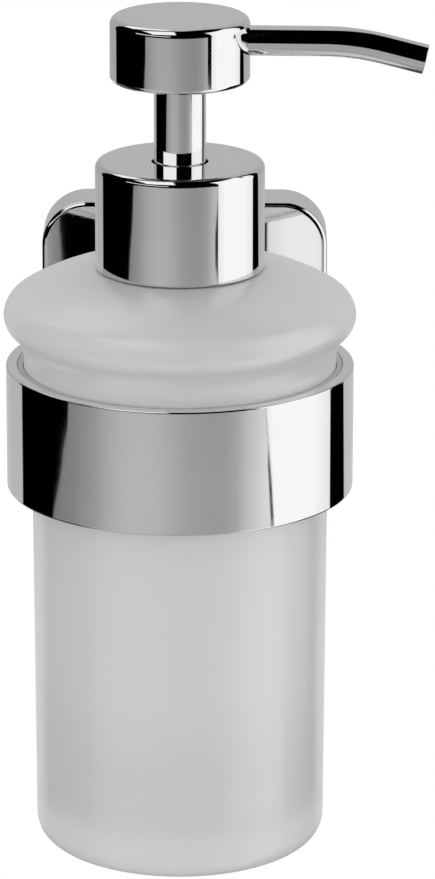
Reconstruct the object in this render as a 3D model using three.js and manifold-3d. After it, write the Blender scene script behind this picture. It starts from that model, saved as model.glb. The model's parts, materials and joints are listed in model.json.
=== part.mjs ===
// Wall-mounted soap dispenser: a chrome ring on a square wall plate holds a frosted
// glass bottle, and a press pump with a long spout is screwed on the bottle's neck.
// Millimetres, +Z up. The wall is the plane y = 0 and the room is on its -Y side.
// The origin is on the wall, behind the middle of the wall plate.

import * as THREE from 'three';
import { mergeVertices } from 'three/addons/utils/BufferGeometryUtils.js';
import Module from 'manifold-3d';

const manifold = await Module();
manifold.setup();

// Clearances shared by all pieces
const SEAT_GAP = 0.3;
const SLIDE_GAP = 0.45;
const OVERRUN = 2;

// Wall plate and its bracket
const PLATE_SIDE = 63;
const PLATE_CORNER = 10;
const PLATE_DEPTH = 12;
const PLATE_WALL = 2;
const PLATE_EDGE_WIDTH = 1.3;
const PLATE_EDGE_DEPTH = 0.6;
const BRACKET_DEPTH = 6;
const BRACKET_FLOOR = 2.7;

// Ring with a bottom lip, its middle a little over the arm's, and the arm behind it
const RING_RADIUS = 36;
const RING_WALL = 2.35;
const RING_HEIGHT = 26.2;
const RING_EDGE = 0.35;
const RING_LIP = 1.2;
const RING_RISE = 3.3;
const ARM_LENGTH = 35.4;
const ARM_WIDTH = 20;
const ARM_HEIGHT = 14;
const ARM_CORNER = 3;

// Screws and plugs of the holder
const WALL_SCREW_SPACING = 34;
const WALL_SCREW_RADIUS = 2;
const WALL_SCREW_HEAD = 4.1;
const WALL_SCREW_LENGTH = 34;
const PLUG_RADIUS = 3.8;
const PLUG_RIB = 0.35;
const PLUG_LENGTH = 36;
const PLUG_RIM = 1.1;
const PLUG_RECESS = 1;
const ARM_SCREW_RADIUS = 2;
const ARM_SCREW_HEAD = 3.9;
const ARM_SCREW_HEAD_HEIGHT = 2.4;
const ARM_SCREW_LENGTH = 13;
const RING_SCREW_RADIUS = 1.7;
const RING_SCREW_HEAD = 3;
const RING_SCREW_LENGTH = 10;
const GRUB_RADIUS = 2;
const GRUB_LENGTH = 4.6;
const HEX_SOCKET_RADIUS = 1.2;
const HEX_SOCKET_DEPTH = 1.5;
const CROSS_SLOT_WIDTH = 0.9;
const CROSS_SLOT_DEPTH = 1.6;

// Clear sleeve between ring and glass
const LINER_WALL = 0.65;
const LINER_LIP = 0.9;
const LINER_SHORTFALL = 0.6;

// Glass bottle; levels are heights over the ring's top edge
const BOTTLE_DROP = 104.07;
const GLASS_WALL = 3.5;
const GLASS_BASE = 8.5;
const BODY_TAPER = 0.4;
const STEP_WIDTH = 1.65;
const FOOT_ROUND = 4.7;
const FLOOR_ROUND = 6;
const PUNT_DEPTH = 1;
const BULGE_LEVEL = 10.5;
const BULGE_OVERHANG = 0.4;
const BULGE_UPPER_ROUND = 5.2;
const BULGE_UPPER_TURN = 58;
const BULGE_LOWER_ROUND = 4.1;
const BULGE_LOWER_TURN = 50;
const SHOULDER_LEVEL = 20.35;
const NECK_RADIUS = 13.4;
const NECK_BORE = 10.6;

// Screw thread of the neck and its cap
const THREAD_PITCH = 4;
const THREAD_HEIGHT = 1;
const THREAD_BASE = 1.9;
const THREAD_TIP = 0.9;
const THREAD_START = 3.6;
const NECK_THREAD_TURNS = 1.5;
const CAP_THREAD_TURNS = 1.25;

// Collar and cap
const COLLAR_RADIUS = 17.42;
const COLLAR_HEIGHT = 22.27;
const COLLAR_WALL = 1;
const COLLAR_ROOF = 1.5;
const COLLAR_EDGE = 0.3;
const COLLAR_TOP_ROUND = 1.5;
const CAP_ROOF = 2.4;

// Pump
const STROKE = 15;
const GASKET_THICKNESS = 1.2;
const FLANGE_THICKNESS = 1.5;
const FLANGE_RADIUS = 12.9;
const CYLINDER_RADIUS = 9.4;
const CYLINDER_WALL = 1.5;
const BUSH_FLOOR = 1.9;
const SLEEVE_RADIUS = 5.33;
const SLEEVE_WALL = 1;
const SLEEVE_HIDDEN = 3.2;
const ROD_RADIUS = 3.5;
const ROD_BORE = 1.5;
const ROD_FOOT_RADIUS = 5.6;
const ROD_FOOT = 2;
const PISTON_HEIGHT = 10;
const PISTON_LIP = 1.2;
const SPRING_RADIUS = 5.5;
const SPRING_WIRE = 0.55;
const SPRING_LENGTH = 24;
const SPRING_TURNS = 6;
const INLET_BALL_RADIUS = 2.6;
const INLET_POCKET_RADIUS = 3.4;
const INLET_POCKET_DEPTH = 4;
const INLET_HOLE_RADIUS = 1.8;
const INLET_HOLE_LENGTH = 1.5;
const SOCKET_LENGTH = 12;
const DIP_RADIUS = 3.2;
const DIP_WALL = 0.9;
const DIP_CUT_DEGREES = 30;
const DIP_FLOOR_GAP = 3.5;
const OUTLET_BALL_RADIUS = 1.9;

// Pump head and spout
const STEM_SHOW = 16.91;
const HEAD_RADIUS = 14.3;
const HEAD_HEIGHT = 13.35;
const HEAD_WALL = 1.9;
const HEAD_ROOF = 1.4;
const HEAD_TOP_ROUND = 1.7;
const HEAD_FOOT_ROUND = 1;
const CORE_RECESS = 0.5;
const SLEEVE_SOCKET = 2;
const ROD_SOCKET = 4.1;
const CHAMBER_RADIUS = 2.7;
const CHAMBER_HEIGHT = 5.6;
const SPOUT_RADIUS = 3.07;
const SPOUT_BORE = 2.35;
const SPOUT_RISE = 8.36;
const SPOUT_STRAIGHT = 29.2;
const SPOUT_BEND_RADIUS = 52;
const SPOUT_BEND_DEGREES = 14;
const SPOUT_TIP = 8.4;
const SPOUT_TURN_DEGREES = -2;
const SPIGOT_RADIUS = 2.2;
const SPIGOT_BORE = 1.3;

// Shares of the sizes that they follow
const BLUNT_TIP_SHARE = 0.8;
const POINTED_TIP_SHARE = 0.25;
const SCREW_HEAD_STRAIGHT_SHARE = 0.6;
const BARB_LENGTH_SHARE = 0.9;
const PUNT_EDGE_SHARE = 0.8;
const SHOULDER_OUT_SHARE = 0.52;
const SHOULDER_DOWN_SHARE = 0.18;
const CREST_WALL_SHARE = 1.3;
const NECK_WALL_SHARE = 0.6;

// Facet counts of round pieces
const LARGE_ROUND = 48;
const MEDIUM_ROUND = 30;
const SMALL_ROUND = 16;
const TINY_ROUND = 12;
const ROUNDING_STEPS = 3;
const CORNER_STEPS = 6;
const THREAD_STEPS = 18;
const SPRING_STEPS = 12;
const SPRING_SIDES = 6;
const SPOUT_STEPS = 12;

// Radii that follow from the ring: each piece nests in the one before it
const ringBore = RING_RADIUS - RING_WALL;
const linerRadius = ringBore - SEAT_GAP;
const linerBore = linerRadius - LINER_WALL;
const waistRadius = linerBore - SEAT_GAP;
const bodyRadius = waistRadius - STEP_WIDTH;
const footRadius = bodyRadius - BODY_TAPER;
const linerLipBore = bodyRadius + SLIDE_GAP;
const ringLipBore = linerLipBore + SLIDE_GAP;
const bulgeRadius = RING_RADIUS + BULGE_OVERHANG;
const wallToAxis = PLATE_DEPTH + ARM_LENGTH + RING_RADIUS + 2 * SEAT_GAP;

// Levels of the bottle over the ring's top edge
const ringBottom = -RING_HEIGHT;
const linerBottom = ringBottom + RING_LIP + SEAT_GAP;
const linerTop = -LINER_SHORTFALL;
const stepLevel = linerBottom + LINER_LIP + SEAT_GAP;
const bottleBottom = -BOTTLE_DROP;
const bottleFloor = bottleBottom + GLASS_BASE;
const ringScrewLevel = ringBottom / 2 - RING_RISE;

// Levels of the closure, from the collar's roof down to the neck's rim
const collarBottom = SHOULDER_LEVEL + SEAT_GAP;
const collarTop = collarBottom + COLLAR_HEIGHT;
const capTop = collarTop - COLLAR_ROOF - SEAT_GAP;
const capCeiling = capTop - CAP_ROOF;
const bushFlangeTop = capCeiling - SEAT_GAP;
const bushFlangeBottom = bushFlangeTop - FLANGE_THICKNESS;
const cylinderTop = bushFlangeBottom - SEAT_GAP;
const flangeBottom = cylinderTop - FLANGE_THICKNESS;
const gasketTop = flangeBottom - SEAT_GAP;
const gasketBottom = gasketTop - GASKET_THICKNESS;
const neckTop = gasketBottom - SEAT_GAP;
const capBottom = collarBottom + SEAT_GAP;

// Radii of the closure
const collarBore = COLLAR_RADIUS - COLLAR_WALL;
const capRadius = collarBore - SEAT_GAP;
const capBore = NECK_RADIUS + THREAD_HEIGHT + SLIDE_GAP;
const cylinderBore = CYLINDER_RADIUS - CYLINDER_WALL;
const bushRadius = cylinderBore - SEAT_GAP;
const bushBore = SLEEVE_RADIUS + SLIDE_GAP;
const rodHole = ROD_RADIUS + SEAT_GAP;

// Levels of the pump, from the sleeve's hidden end down to the dip tube
const sleeveBottom = collarTop - SLEEVE_HIDDEN;
const bushFloorTop = sleeveBottom - STROKE - 2 * SEAT_GAP;
const bushBottom = bushFloorTop - BUSH_FLOOR;
const pistonTop = bushBottom - SEAT_GAP;
const pistonBottom = pistonTop - PISTON_HEIGHT;
const rodFootTop = pistonBottom - SEAT_GAP;
const rodBottom = rodFootTop - ROD_FOOT;
const springTop = rodBottom - SEAT_GAP;
const springBottom = springTop - SPRING_LENGTH;
const ledgeLevel = springBottom - SEAT_GAP;
const seatTop = ledgeLevel - INLET_POCKET_DEPTH;
const seatBottom = seatTop - (INLET_POCKET_RADIUS - INLET_HOLE_RADIUS);
const socketTop = seatBottom - INLET_HOLE_LENGTH;
const socketBottom = socketTop - SOCKET_LENGTH;
const socketBore = DIP_RADIUS + SEAT_GAP;
const dipTop = socketTop - SEAT_GAP;
const dipBottom = bottleFloor + DIP_FLOOR_GAP;

// Levels of the head
const headBottom = collarTop + STEM_SHOW;
const headTop = headBottom + HEAD_HEIGHT;
const headCavity = HEAD_RADIUS - HEAD_WALL;
const coreBottom = headBottom + CORE_RECESS;
const coreTop = headTop - HEAD_ROOF - SEAT_GAP;
const coreRadius = headCavity - SEAT_GAP;
const sleeveTop = coreBottom + SLEEVE_SOCKET;
const rodTop = coreBottom + ROD_SOCKET;
const chamberFloor = rodTop + SEAT_GAP;
const spoutLevel = headBottom + SPOUT_RISE;
const spoutBend = THREE.MathUtils.degToRad(SPOUT_BEND_DEGREES);

const CHROME = { color: 0xd9dbde, roughness: 0.06, metalness: 1 };
const ZINC = { color: 0xa8abae, roughness: 0.35, metalness: 1 };
const STEEL = { color: 0xc2c4c6, roughness: 0.3, metalness: 1 };
const FROSTED_GLASS = { color: 0xdfe3e3, roughness: 0.55, metalness: 0 };
const CLEAR_PLASTIC = { color: 0xe6e8e8, roughness: 0.25, metalness: 0 };
const WHITE_PLASTIC = { color: 0xeeeeec, roughness: 0.4, metalness: 0 };
const BLACK_PLASTIC = { color: 0x1b1b1c, roughness: 0.45, metalness: 0 };
const GREY_NYLON = { color: 0x9b9da0, roughness: 0.6, metalness: 0 };
const SEAL_RUBBER = { color: 0x2a2a2b, roughness: 0.8, metalness: 0 };

// Turns a three.js geometry into a solid that can be cut and joined
function solidOf(geometry) {
  const bare = geometry.clone();
  bare.deleteAttribute('normal');
  bare.deleteAttribute('uv');
  const merged = mergeVertices(bare);
  const corners = merged.index.array;
  const kept = [];
  for (let at = 0; at < corners.length; at += 3) {
    const [a, b, c] = corners.slice(at, at + 3);
    const collapsed = a === b || b === c || c === a;
    if (!collapsed) kept.push(a, b, c);
  }
  const mesh = new manifold.Mesh({
    numProp: 3,
    vertProperties: Float32Array.from(merged.attributes.position.array),
    triVerts: Uint32Array.from(kept),
  });
  mesh.merge();
  return new manifold.Manifold(mesh);
}

function geometryOf(solid) {
  const mesh = solid.getMesh();
  const geometry = new THREE.BufferGeometry();
  geometry.setAttribute('position', new THREE.Float32BufferAttribute(mesh.vertProperties, 3));
  geometry.setIndex([...mesh.triVerts]);
  geometry.computeVertexNormals();
  return geometry;
}

function cut(geometry, tools) {
  let solid = solidOf(geometry);
  for (const tool of tools) solid = solid.subtract(solidOf(tool));
  return geometryOf(solid);
}

function join(geometry, additions) {
  let solid = solidOf(geometry);
  for (const addition of additions) solid = solid.add(solidOf(addition));
  return geometryOf(solid);
}

// Revolves a closed outline of [radius, level] points about +Z
function revolve(outline, faces) {
  let doubledArea = 0;
  outline.forEach(([radius, level], at) => {
    const [nextRadius, nextLevel] = outline[(at + 1) % outline.length];
    doubledArea += radius * nextLevel - nextRadius * level;
  });
  const ordered = doubledArea > 0 ? [...outline] : [...outline].reverse();
  const onAxis = ordered.findIndex(([radius], at) => {
    const [previousRadius] = ordered[(at + ordered.length - 1) % ordered.length];
    return radius === 0 && previousRadius === 0;
  });
  const points = onAxis < 0
    ? [...ordered, ordered[0]]
    : [...ordered.slice(onAxis), ...ordered.slice(0, onAxis)];
  const profile = points.map(([radius, level]) => new THREE.Vector2(radius, level));
  return new THREE.LatheGeometry(profile, faces).rotateX(Math.PI / 2);
}

// Points of a round stretch of an outline, angles in degrees from +R towards +Z
function arc(radiusAt, levelAt, round, from, to, steps = ROUNDING_STEPS) {
  return Array.from({ length: steps + 1 }, (unused, step) => {
    const angle = THREE.MathUtils.degToRad(from + (to - from) * step / steps);
    return [radiusAt + round * Math.cos(angle), levelAt + round * Math.sin(angle)];
  });
}

function tube(outer, inner, bottom, top, faces) {
  return revolve([[inner, bottom], [outer, bottom], [outer, top], [inner, top]], faces);
}

function rod(radius, bottom, top, faces) {
  return revolve([[0, bottom], [radius, bottom], [radius, top], [0, top]], faces);
}

// Closed skin over a row of sections that all have the same number of points
function skin(sections) {
  const count = sections[0].length;
  const last = (sections.length - 1) * count;
  const index = [];
  for (let row = 0; row < sections.length - 1; row += 1) {
    for (let at = 0; at < count; at += 1) {
      const a = row * count + at;
      const b = row * count + (at + 1) % count;
      index.push(a, b, b + count, a, b + count, a + count);
    }
  }
  for (let at = 1; at < count - 1; at += 1) {
    index.push(0, at + 1, at);
    index.push(last, last + at, last + at + 1);
  }
  const geometry = new THREE.BufferGeometry();
  geometry.setAttribute('position', new THREE.Float32BufferAttribute(sections.flat(2), 3));
  geometry.setIndex(index);
  geometry.computeVertexNormals();
  return geometry;
}

// Point of a helix about +Z, lifted by one pitch each turn
function helixPoint(radius, level, turn) {
  const angle = turn * 2 * Math.PI;
  return [radius * Math.cos(angle), radius * Math.sin(angle), level];
}

// Screw ridge that stands on a wall of the given radius, outwards or inwards
function threadRidge({ wall, height, bottom, turns, firstTurn }) {
  const side = Math.sign(height);
  const root = wall - side * SEAT_GAP;
  const tip = wall + height;
  const steps = Math.round(turns * THREAD_STEPS);
  const sections = [];
  for (let step = 0; step <= steps; step += 1) {
    const turn = turns * step / steps;
    const middle = bottom + THREAD_PITCH * turn;
    const section = [
      helixPoint(root, middle - THREAD_BASE / 2, firstTurn + turn),
      helixPoint(tip, middle - THREAD_TIP / 2, firstTurn + turn),
      helixPoint(tip, middle + THREAD_TIP / 2, firstTurn + turn),
      helixPoint(root, middle + THREAD_BASE / 2, firstTurn + turn),
    ];
    sections.push(side > 0 ? section.reverse() : section);
  }
  return skin(sections);
}

// Hexagon or cross recess, open at z = 0 and cut towards -Z
function hexRecess() {
  const depth = HEX_SOCKET_DEPTH + OVERRUN;
  return new THREE.CylinderGeometry(HEX_SOCKET_RADIUS, HEX_SOCKET_RADIUS, depth, 6)
    .rotateX(Math.PI / 2)
    .translate(0, 0, (OVERRUN - HEX_SOCKET_DEPTH) / 2);
}

function crossRecess(width) {
  const depth = CROSS_SLOT_DEPTH + OVERRUN;
  const along = new THREE.BoxGeometry(width, CROSS_SLOT_WIDTH, depth);
  const across = new THREE.BoxGeometry(CROSS_SLOT_WIDTH, width, depth);
  return join(along, [across]).translate(0, 0, (OVERRUN - CROSS_SLOT_DEPTH) / 2);
}

// Countersunk screw with its head's face at z = 0 and its shank towards -Z
function countersunkScrew(headRadius, shankRadius, length, pointed) {
  const coneDepth = headRadius - shankRadius;
  const tipRadius = shankRadius * (pointed ? POINTED_TIP_SHARE : BLUNT_TIP_SHARE);
  const taper = pointed ? 2 * shankRadius : shankRadius - tipRadius;
  return revolve([
    [0, -length],
    [tipRadius, -length],
    [shankRadius, -length + taper],
    [shankRadius, -coneDepth],
    [headRadius, 0],
    [0, 0],
  ], SMALL_ROUND);
}

// Conical hole for such a screw, wider than it all round
function countersunkHole(headRadius, shankRadius, length) {
  const hole = shankRadius + SEAT_GAP;
  const mouth = headRadius + SEAT_GAP;
  return revolve([
    [0, -length],
    [hole, -length],
    [hole, hole - mouth - SEAT_GAP],
    [mouth, -SEAT_GAP],
    [mouth, OVERRUN],
    [0, OVERRUN],
  ], SMALL_ROUND);
}

function roundedRectangle(width, height, corner) {
  const across = width / 2 - corner;
  const up = height / 2 - corner;
  const shape = new THREE.Shape();
  shape.absarc(across, up, corner, 0, Math.PI / 2);
  shape.absarc(-across, up, corner, Math.PI / 2, Math.PI);
  shape.absarc(-across, -up, corner, Math.PI, 1.5 * Math.PI);
  shape.absarc(across, -up, corner, 1.5 * Math.PI, 2 * Math.PI);
  shape.closePath();
  return shape;
}

// Turns +Z of a geometry towards the room, towards the wall or down
function towardsRoom(geometry) {
  return geometry.rotateX(Math.PI / 2);
}

function towardsWall(geometry) {
  return geometry.rotateX(-Math.PI / 2);
}

function downwards(geometry) {
  return geometry.rotateX(Math.PI);
}

function wallScrewPlaces() {
  return [-WALL_SCREW_SPACING / 2, WALL_SCREW_SPACING / 2];
}

function roundedPlate(side, corner, depth) {
  return new THREE.ExtrudeGeometry(roundedRectangle(side, side, corner), {
    depth,
    curveSegments: CORNER_STEPS,
    bevelEnabled: false,
  });
}

// Plate cover: a shallow square cup over the bracket, its face eased at the edge
function plateCover() {
  const faceSide = PLATE_SIDE - 2 * PLATE_EDGE_WIDTH;
  const face = roundedRectangle(faceSide, faceSide, PLATE_CORNER - PLATE_EDGE_WIDTH);
  const block = new THREE.ExtrudeGeometry(face, {
    depth: PLATE_DEPTH,
    curveSegments: CORNER_STEPS,
    bevelThickness: PLATE_EDGE_DEPTH,
    bevelSize: PLATE_EDGE_WIDTH,
    bevelSegments: ROUNDING_STEPS,
  }).translate(0, 0, -PLATE_EDGE_DEPTH);
  const hollow = roundedPlate(
    PLATE_SIDE - 2 * PLATE_WALL,
    PLATE_CORNER - PLATE_WALL,
    PLATE_DEPTH - PLATE_WALL + OVERRUN,
  ).translate(0, 0, -OVERRUN);
  const behindWall = new THREE.BoxGeometry(2 * PLATE_SIDE, 2 * PLATE_SIDE, PLATE_DEPTH)
    .translate(0, 0, -PLATE_DEPTH / 2);
  const inFront = behindWall.clone().translate(0, 0, 2 * PLATE_DEPTH);
  const screwHole = rod(ARM_SCREW_RADIUS + SEAT_GAP, 0, PLATE_DEPTH + OVERRUN, SMALL_ROUND);
  const cup = cut(block, [behindWall, inFront, hollow, screwHole]);
  return cut(towardsRoom(cup), [grubHole()]);
}

// Upright hole for the grub screw, from under the plate into the bracket
function grubHole() {
  const reach = GRUB_LENGTH + 2 * SEAT_GAP;
  return rod(GRUB_RADIUS + SEAT_GAP, -OVERRUN, reach, SMALL_ROUND)
    .translate(0, -BRACKET_DEPTH / 2, -PLATE_SIDE / 2);
}

// Bracket with countersunk holes, whose wall ends are widened for the plugs' rims
function wallBracket() {
  const side = PLATE_SIDE - 2 * PLATE_WALL - 2 * SEAT_GAP;
  const block = roundedPlate(side, PLATE_CORNER - PLATE_WALL, BRACKET_DEPTH);
  const pocketRadius = ARM_SCREW_HEAD + 2 * SLIDE_GAP;
  const pocket = rod(pocketRadius, BRACKET_FLOOR, BRACKET_DEPTH + OVERRUN, SMALL_ROUND);
  const holes = wallScrewPlaces().flatMap((across) => [
    countersunkHole(WALL_SCREW_HEAD, WALL_SCREW_RADIUS, BRACKET_DEPTH + OVERRUN)
      .translate(across, 0, BRACKET_DEPTH),
    rod(PLUG_RADIUS + PLUG_RIB + SEAT_GAP, -OVERRUN, PLUG_RECESS, SMALL_ROUND)
      .translate(across, 0, 0),
  ]);
  const bored = cut(block, [pocket, ...holes]);
  return cut(towardsRoom(bored), [grubHole()]);
}

function wallScrew() {
  const screw = countersunkScrew(WALL_SCREW_HEAD, WALL_SCREW_RADIUS, WALL_SCREW_LENGTH, true);
  const slotted = cut(screw, [crossRecess(WALL_SCREW_HEAD)]);
  return towardsRoom(slotted).translate(0, SEAT_GAP - BRACKET_DEPTH, 0);
}

// Plug in the wall: a tube with a rim and a row of barbs
function wallPlug() {
  const bore = WALL_SCREW_RADIUS + SEAT_GAP;
  const barbs = 5;
  const first = PLUG_RIM + SEAT_GAP;
  const pitch = (PLUG_LENGTH - first) / barbs;
  const outline = [[bore, 0], [PLUG_RADIUS + PLUG_RIB, 0], [PLUG_RADIUS + PLUG_RIB, PLUG_RIM]];
  for (let barb = 0; barb < barbs; barb += 1) {
    outline.push([PLUG_RADIUS - PLUG_RIB, first + barb * pitch]);
    outline.push([PLUG_RADIUS, first + (barb + BARB_LENGTH_SHARE) * pitch]);
  }
  outline.push([bore, PLUG_LENGTH]);
  return towardsWall(revolve(outline, TINY_ROUND)).translate(0, SEAT_GAP, 0);
}

// Arm from the plate cover to the ring, its end hollowed to the ring's round back
function holderArm() {
  const plateEnd = PLATE_DEPTH + SEAT_GAP;
  const reach = wallToAxis - plateEnd;
  const bar = new THREE.ExtrudeGeometry(roundedRectangle(ARM_WIDTH, ARM_HEIGHT, ARM_CORNER), {
    depth: reach,
    curveSegments: ROUNDING_STEPS,
    bevelEnabled: false,
  }).translate(0, 0, plateEnd);
  const ringRoom = rod(RING_RADIUS + SEAT_GAP, -ARM_HEIGHT, ARM_HEIGHT, LARGE_ROUND)
    .translate(0, -wallToAxis, 0);
  const plateScrewHole = rod(
    ARM_SCREW_RADIUS + SEAT_GAP,
    0,
    PLATE_DEPTH - PLATE_WALL + ARM_SCREW_LENGTH + SEAT_GAP,
    SMALL_ROUND,
  );
  const ringScrewEnd = wallToAxis - ringScrewFace() - RING_SCREW_LENGTH - SEAT_GAP;
  const ringScrewHole = rod(RING_SCREW_RADIUS + SEAT_GAP, ringScrewEnd, wallToAxis, SMALL_ROUND);
  const bored = cut(bar, [plateScrewHole, ringScrewHole]);
  return cut(towardsRoom(bored), [ringRoom]);
}

function armScrew() {
  const tipRadius = ARM_SCREW_RADIUS * BLUNT_TIP_SHARE;
  const screw = revolve([
    [0, -ARM_SCREW_LENGTH],
    [tipRadius, -ARM_SCREW_LENGTH],
    [ARM_SCREW_RADIUS, -ARM_SCREW_LENGTH + ARM_SCREW_RADIUS - tipRadius],
    [ARM_SCREW_RADIUS, 0],
    [ARM_SCREW_HEAD, 0],
    [ARM_SCREW_HEAD, ARM_SCREW_HEAD_HEIGHT * SCREW_HEAD_STRAIGHT_SHARE],
    [ARM_SCREW_HEAD * BLUNT_TIP_SHARE, ARM_SCREW_HEAD_HEIGHT],
    [0, ARM_SCREW_HEAD_HEIGHT],
  ], SMALL_ROUND);
  const socketed = cut(screw, [hexRecess().translate(0, 0, ARM_SCREW_HEAD_HEIGHT)]);
  return towardsWall(socketed).translate(0, SEAT_GAP - PLATE_DEPTH + PLATE_WALL, 0);
}

function grubScrew() {
  const screw = rod(GRUB_RADIUS, -GRUB_LENGTH, 0, SMALL_ROUND);
  const socketed = cut(screw, [hexRecess()]);
  return downwards(socketed).translate(0, -BRACKET_DEPTH / 2, SEAT_GAP - PLATE_SIDE / 2);
}

// Distance of the ring screw's face from the bottle's axis, just clear of the liner
function ringScrewFace() {
  return linerRadius + 2 * SEAT_GAP;
}

function holderRing() {
  const outline = [
    [ringLipBore, ringBottom],
    [RING_RADIUS - RING_EDGE, ringBottom],
    [RING_RADIUS, ringBottom + RING_EDGE],
    [RING_RADIUS, -RING_EDGE],
    [RING_RADIUS - RING_EDGE, 0],
    [ringBore + RING_EDGE, 0],
    [ringBore, -RING_EDGE],
    [ringBore, ringBottom + RING_LIP],
    [ringLipBore, ringBottom + RING_LIP],
  ];
  const hole = towardsRoom(countersunkHole(RING_SCREW_HEAD, RING_SCREW_RADIUS, RING_SCREW_LENGTH))
    .translate(0, ringScrewFace(), ringScrewLevel);
  return cut(revolve(outline, LARGE_ROUND), [hole]);
}

function ringScrew() {
  const screw = countersunkScrew(RING_SCREW_HEAD, RING_SCREW_RADIUS, RING_SCREW_LENGTH, false);
  return towardsRoom(cut(screw, [hexRecess()])).translate(0, ringScrewFace(), ringScrewLevel);
}

function ringLiner() {
  return revolve([
    [linerLipBore, linerBottom],
    [linerRadius, linerBottom],
    [linerRadius, linerTop],
    [linerBore, linerTop],
    [linerBore, linerBottom + LINER_LIP],
    [linerLipBore, linerBottom + LINER_LIP],
  ], LARGE_ROUND);
}

// Outside of the bottle from its foot to the neck's rim
function bottleOutside() {
  const upperCentre = bulgeRadius - BULGE_UPPER_ROUND;
  const lowerCentre = bulgeRadius - BULGE_LOWER_ROUND;
  const bulgeUpper = arc(upperCentre, BULGE_LEVEL, BULGE_UPPER_ROUND, 0, BULGE_UPPER_TURN);
  const bulgeLower = arc(lowerCentre, BULGE_LEVEL, BULGE_LOWER_ROUND, -BULGE_LOWER_TURN, 0);
  const [crestRadius, crestLevel] = bulgeUpper.at(-1);
  const [undersideRadius, undersideLevel] = bulgeLower[0];
  const lowerTurn = THREE.MathUtils.degToRad(BULGE_LOWER_TURN);
  const hollowRound = (undersideRadius - waistRadius) / (1 - Math.cos(lowerTurn));
  const hollowLevel = undersideLevel - hollowRound * Math.sin(lowerTurn);
  const hollow = arc(waistRadius + hollowRound, hollowLevel, hollowRound, 180, 180 - BULGE_LOWER_TURN);
  const shoulder = new THREE.QuadraticBezierCurve(
    new THREE.Vector2(crestRadius, crestLevel),
    new THREE.Vector2(
      THREE.MathUtils.lerp(COLLAR_RADIUS, crestRadius, SHOULDER_OUT_SHARE),
      THREE.MathUtils.lerp(SHOULDER_LEVEL, crestLevel, SHOULDER_DOWN_SHARE),
    ),
    new THREE.Vector2(COLLAR_RADIUS, SHOULDER_LEVEL),
  ).getPoints(5).slice(1).map(({ x, y }) => [x, y]);
  return [
    [0, bottleBottom + PUNT_DEPTH],
    [footRadius / 2, bottleBottom + PUNT_DEPTH * PUNT_EDGE_SHARE],
    [footRadius - FOOT_ROUND - PUNT_DEPTH, bottleBottom],
    ...arc(footRadius - FOOT_ROUND, bottleBottom + FOOT_ROUND, FOOT_ROUND, -90, 0),
    [bodyRadius, stepLevel],
    [waistRadius, stepLevel],
    ...hollow.slice(0, -1),
    ...bulgeLower.slice(0, -1),
    ...bulgeUpper,
    ...shoulder,
    [NECK_RADIUS, SHOULDER_LEVEL],
    [NECK_RADIUS, neckTop],
  ];
}

// Inside of the bottle from the neck's rim down to its floor
function bottleInside() {
  const innerWaist = waistRadius - GLASS_WALL;
  const innerBody = bodyRadius - GLASS_WALL;
  const innerFoot = footRadius - GLASS_WALL;
  const innerCrest = bulgeRadius - GLASS_WALL * CREST_WALL_SHARE;
  return [
    [NECK_BORE, neckTop],
    [NECK_BORE, SHOULDER_LEVEL - GLASS_WALL * NECK_WALL_SHARE],
    [COLLAR_RADIUS, SHOULDER_LEVEL - GLASS_WALL],
    [innerWaist, BULGE_LEVEL + GLASS_WALL / 3],
    [innerCrest, BULGE_LEVEL - GLASS_WALL / 2],
    [innerWaist, BULGE_LEVEL - 2 * GLASS_WALL],
    [innerWaist, stepLevel + 2 * GLASS_WALL],
    [innerBody, stepLevel],
    ...arc(innerFoot - FLOOR_ROUND, bottleFloor + FLOOR_ROUND, FLOOR_ROUND, 0, -90),
    [0, bottleFloor],
  ];
}

function glassBottle() {
  const blown = revolve([...bottleOutside(), ...bottleInside()], LARGE_ROUND);
  const ridge = threadRidge({
    wall: NECK_RADIUS,
    height: THREAD_HEIGHT,
    bottom: SHOULDER_LEVEL + THREAD_START,
    turns: NECK_THREAD_TURNS,
    firstTurn: 0,
  });
  return join(blown, [ridge]);
}

function threadedCap() {
  const shell = revolve([
    [capBore, capBottom],
    [capRadius, capBottom],
    [capRadius, capTop],
    [bushRadius + SEAT_GAP, capTop],
    [bushRadius + SEAT_GAP, capCeiling],
    [capBore, capCeiling],
  ], MEDIUM_ROUND);
  const ridge = threadRidge({
    wall: capBore,
    height: -THREAD_HEIGHT,
    bottom: SHOULDER_LEVEL + THREAD_START,
    turns: CAP_THREAD_TURNS,
    firstTurn: 0.5,
  });
  return join(shell, [ridge]);
}

function collarShell() {
  return revolve([
    [collarBore, collarBottom],
    [COLLAR_RADIUS, collarBottom],
    ...arc(COLLAR_RADIUS - COLLAR_TOP_ROUND, collarTop - COLLAR_TOP_ROUND, COLLAR_TOP_ROUND, 0, 90),
    [bushBore + COLLAR_EDGE, collarTop],
    [bushBore, collarTop - COLLAR_EDGE],
    [bushBore, collarTop - COLLAR_ROOF],
    [collarBore, collarTop - COLLAR_ROOF],
  ], LARGE_ROUND);
}

function neckGasket() {
  return tube(FLANGE_RADIUS, CYLINDER_RADIUS + SEAT_GAP, gasketBottom, gasketTop, MEDIUM_ROUND);
}

function guideBush() {
  return revolve([
    [rodHole, bushBottom],
    [bushRadius, bushBottom],
    [bushRadius, bushFlangeBottom],
    [FLANGE_RADIUS, bushFlangeBottom],
    [FLANGE_RADIUS, bushFlangeTop],
    [bushRadius, bushFlangeTop],
    [bushRadius, capTop],
    [bushBore, capTop],
    [bushBore, bushFloorTop],
    [rodHole, bushFloorTop],
  ], MEDIUM_ROUND);
}

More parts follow.
